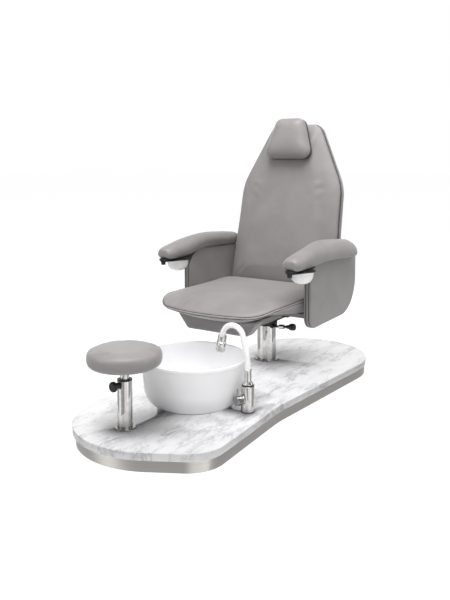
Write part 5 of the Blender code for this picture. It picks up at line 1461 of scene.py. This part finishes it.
def build_lamps():
    """The stone top and all pale pieces have a fill lamp each, without shadows. The others light all but the stone."""
    groups = [lamp_group("stone", PALE_PIECES[:1]), lamp_group("pale", PALE_PIECES)]
    groups += [lamp_group("not_stone", PALE_PIECES[:1], "EXCLUDE")] * len(SOFTBOXES)
    for lamp, group in zip([STONE_FILL, PALE_FILL] + SOFTBOXES, groups):
        softbox(*lamp).light_linking.receiver_collection = group


def build_stage():
    """A pale floor that keeps a faint shadow.

    Polished metal looks through the floor to the studio's panels, as it would on a gloss floor that mirrors them.
    """
    bpy.context.scene.view_settings.view_transform = "Standard"
    half = FLOOR_SIZE / 2
    mesh = bpy.data.meshes.new("floor")
    mesh.from_pydata([(-half, -half, 0), (half, -half, 0), (half, half, 0), (-half, half, 0)], [], [(0, 1, 2, 3)])
    floor = bpy.data.objects.new("floor", mesh)
    floor.location = (0, 0, FLOOR_HEIGHT)
    bpy.context.scene.collection.objects.link(floor)
    material = bpy.data.materials.new("pale_floor")
    shade = emptied(material)
    seen, mirrored = (shade.node("ShaderNodeLightPath", {}, {}, ray) for ray in (CAMERA_RAY, GLOSSY_RAY))
    paint = shade.node("ShaderNodeBsdfDiffuse", {}, {"Color": (0.86, 0.86, 0.86, 1)})
    glow = shade.node("ShaderNodeEmission", {}, {"Color": WHITE, "Strength": 1.2})
    lit = shade.node("ShaderNodeMixShader", {}, {0: seen * 0.80, 1: paint, 2: glow})
    clear = shade.node("ShaderNodeBsdfTransparent", {}, {})
    blend = shade.node("ShaderNodeMixShader", {}, {0: mirrored, 1: lit, 2: clear})
    shade.node("ShaderNodeOutputMaterial", {}, {"Surface": blend})
    mesh.materials.append(material)


def build_world():
    """White to the camera and even soft light on the object. Polished surfaces see a studio of upright panels.

    A panel's place is the angle round the chair as a share of a full turn, with the camera's side at one half.
    """
    world = bpy.data.worlds.new("studio")
    bpy.context.scene.world = world
    shade = emptied(world)
    seen, mirrored = (shade.node("ShaderNodeLightPath", {}, {}, ray) for ray in (CAMERA_RAY, GLOSSY_RAY))
    where = shade.node("ShaderNodeTexCoord", {}, {}, 0)
    ahead = shade.node("ShaderNodeMapping", {}, {"Vector": where, "Rotation": (0, 0, np.pi / 2 - HEADING)})
    x, y, z = (shade.node("ShaderNodeSeparateXYZ", {}, {"Vector": ahead}, part) for part in range(3))
    turn = shade.maths("ARCTAN2", y, x) * (1 / TAU) + 0.5
    panels = shade.node("ShaderNodeValToRGB", {"stops": STUDIO_PANELS}, {"Fac": turn})
    flagged = z.between(*FLAG_HEIGHT).mixed(panels, (0.10, 0.10, 0.10, 1))
    studio = z.between(*OVERHEAD_HEIGHT).mixed(flagged, (0.55, 0.55, 0.55, 1))
    soft = mirrored.mixed((AMBIENT, AMBIENT, AMBIENT, 1), studio)
    light = shade.node("ShaderNodeBackground", {}, {"Color": seen.mixed(soft, WHITE), "Strength": 1.0})
    shade.node("ShaderNodeOutputWorld", {}, {"Surface": light})


build_camera()
build_stage()
build_world()
keep_solids()
build_platform()
build_column()
build_lever()
build_seat()
build_apron()
build_underside()
for arm_name, arm_side in (("left", 1), ("right", -1)):
    build_arm(arm_name, arm_side)
build_back()
build_basin()
build_tap()
build_footrest()
build_lamps()
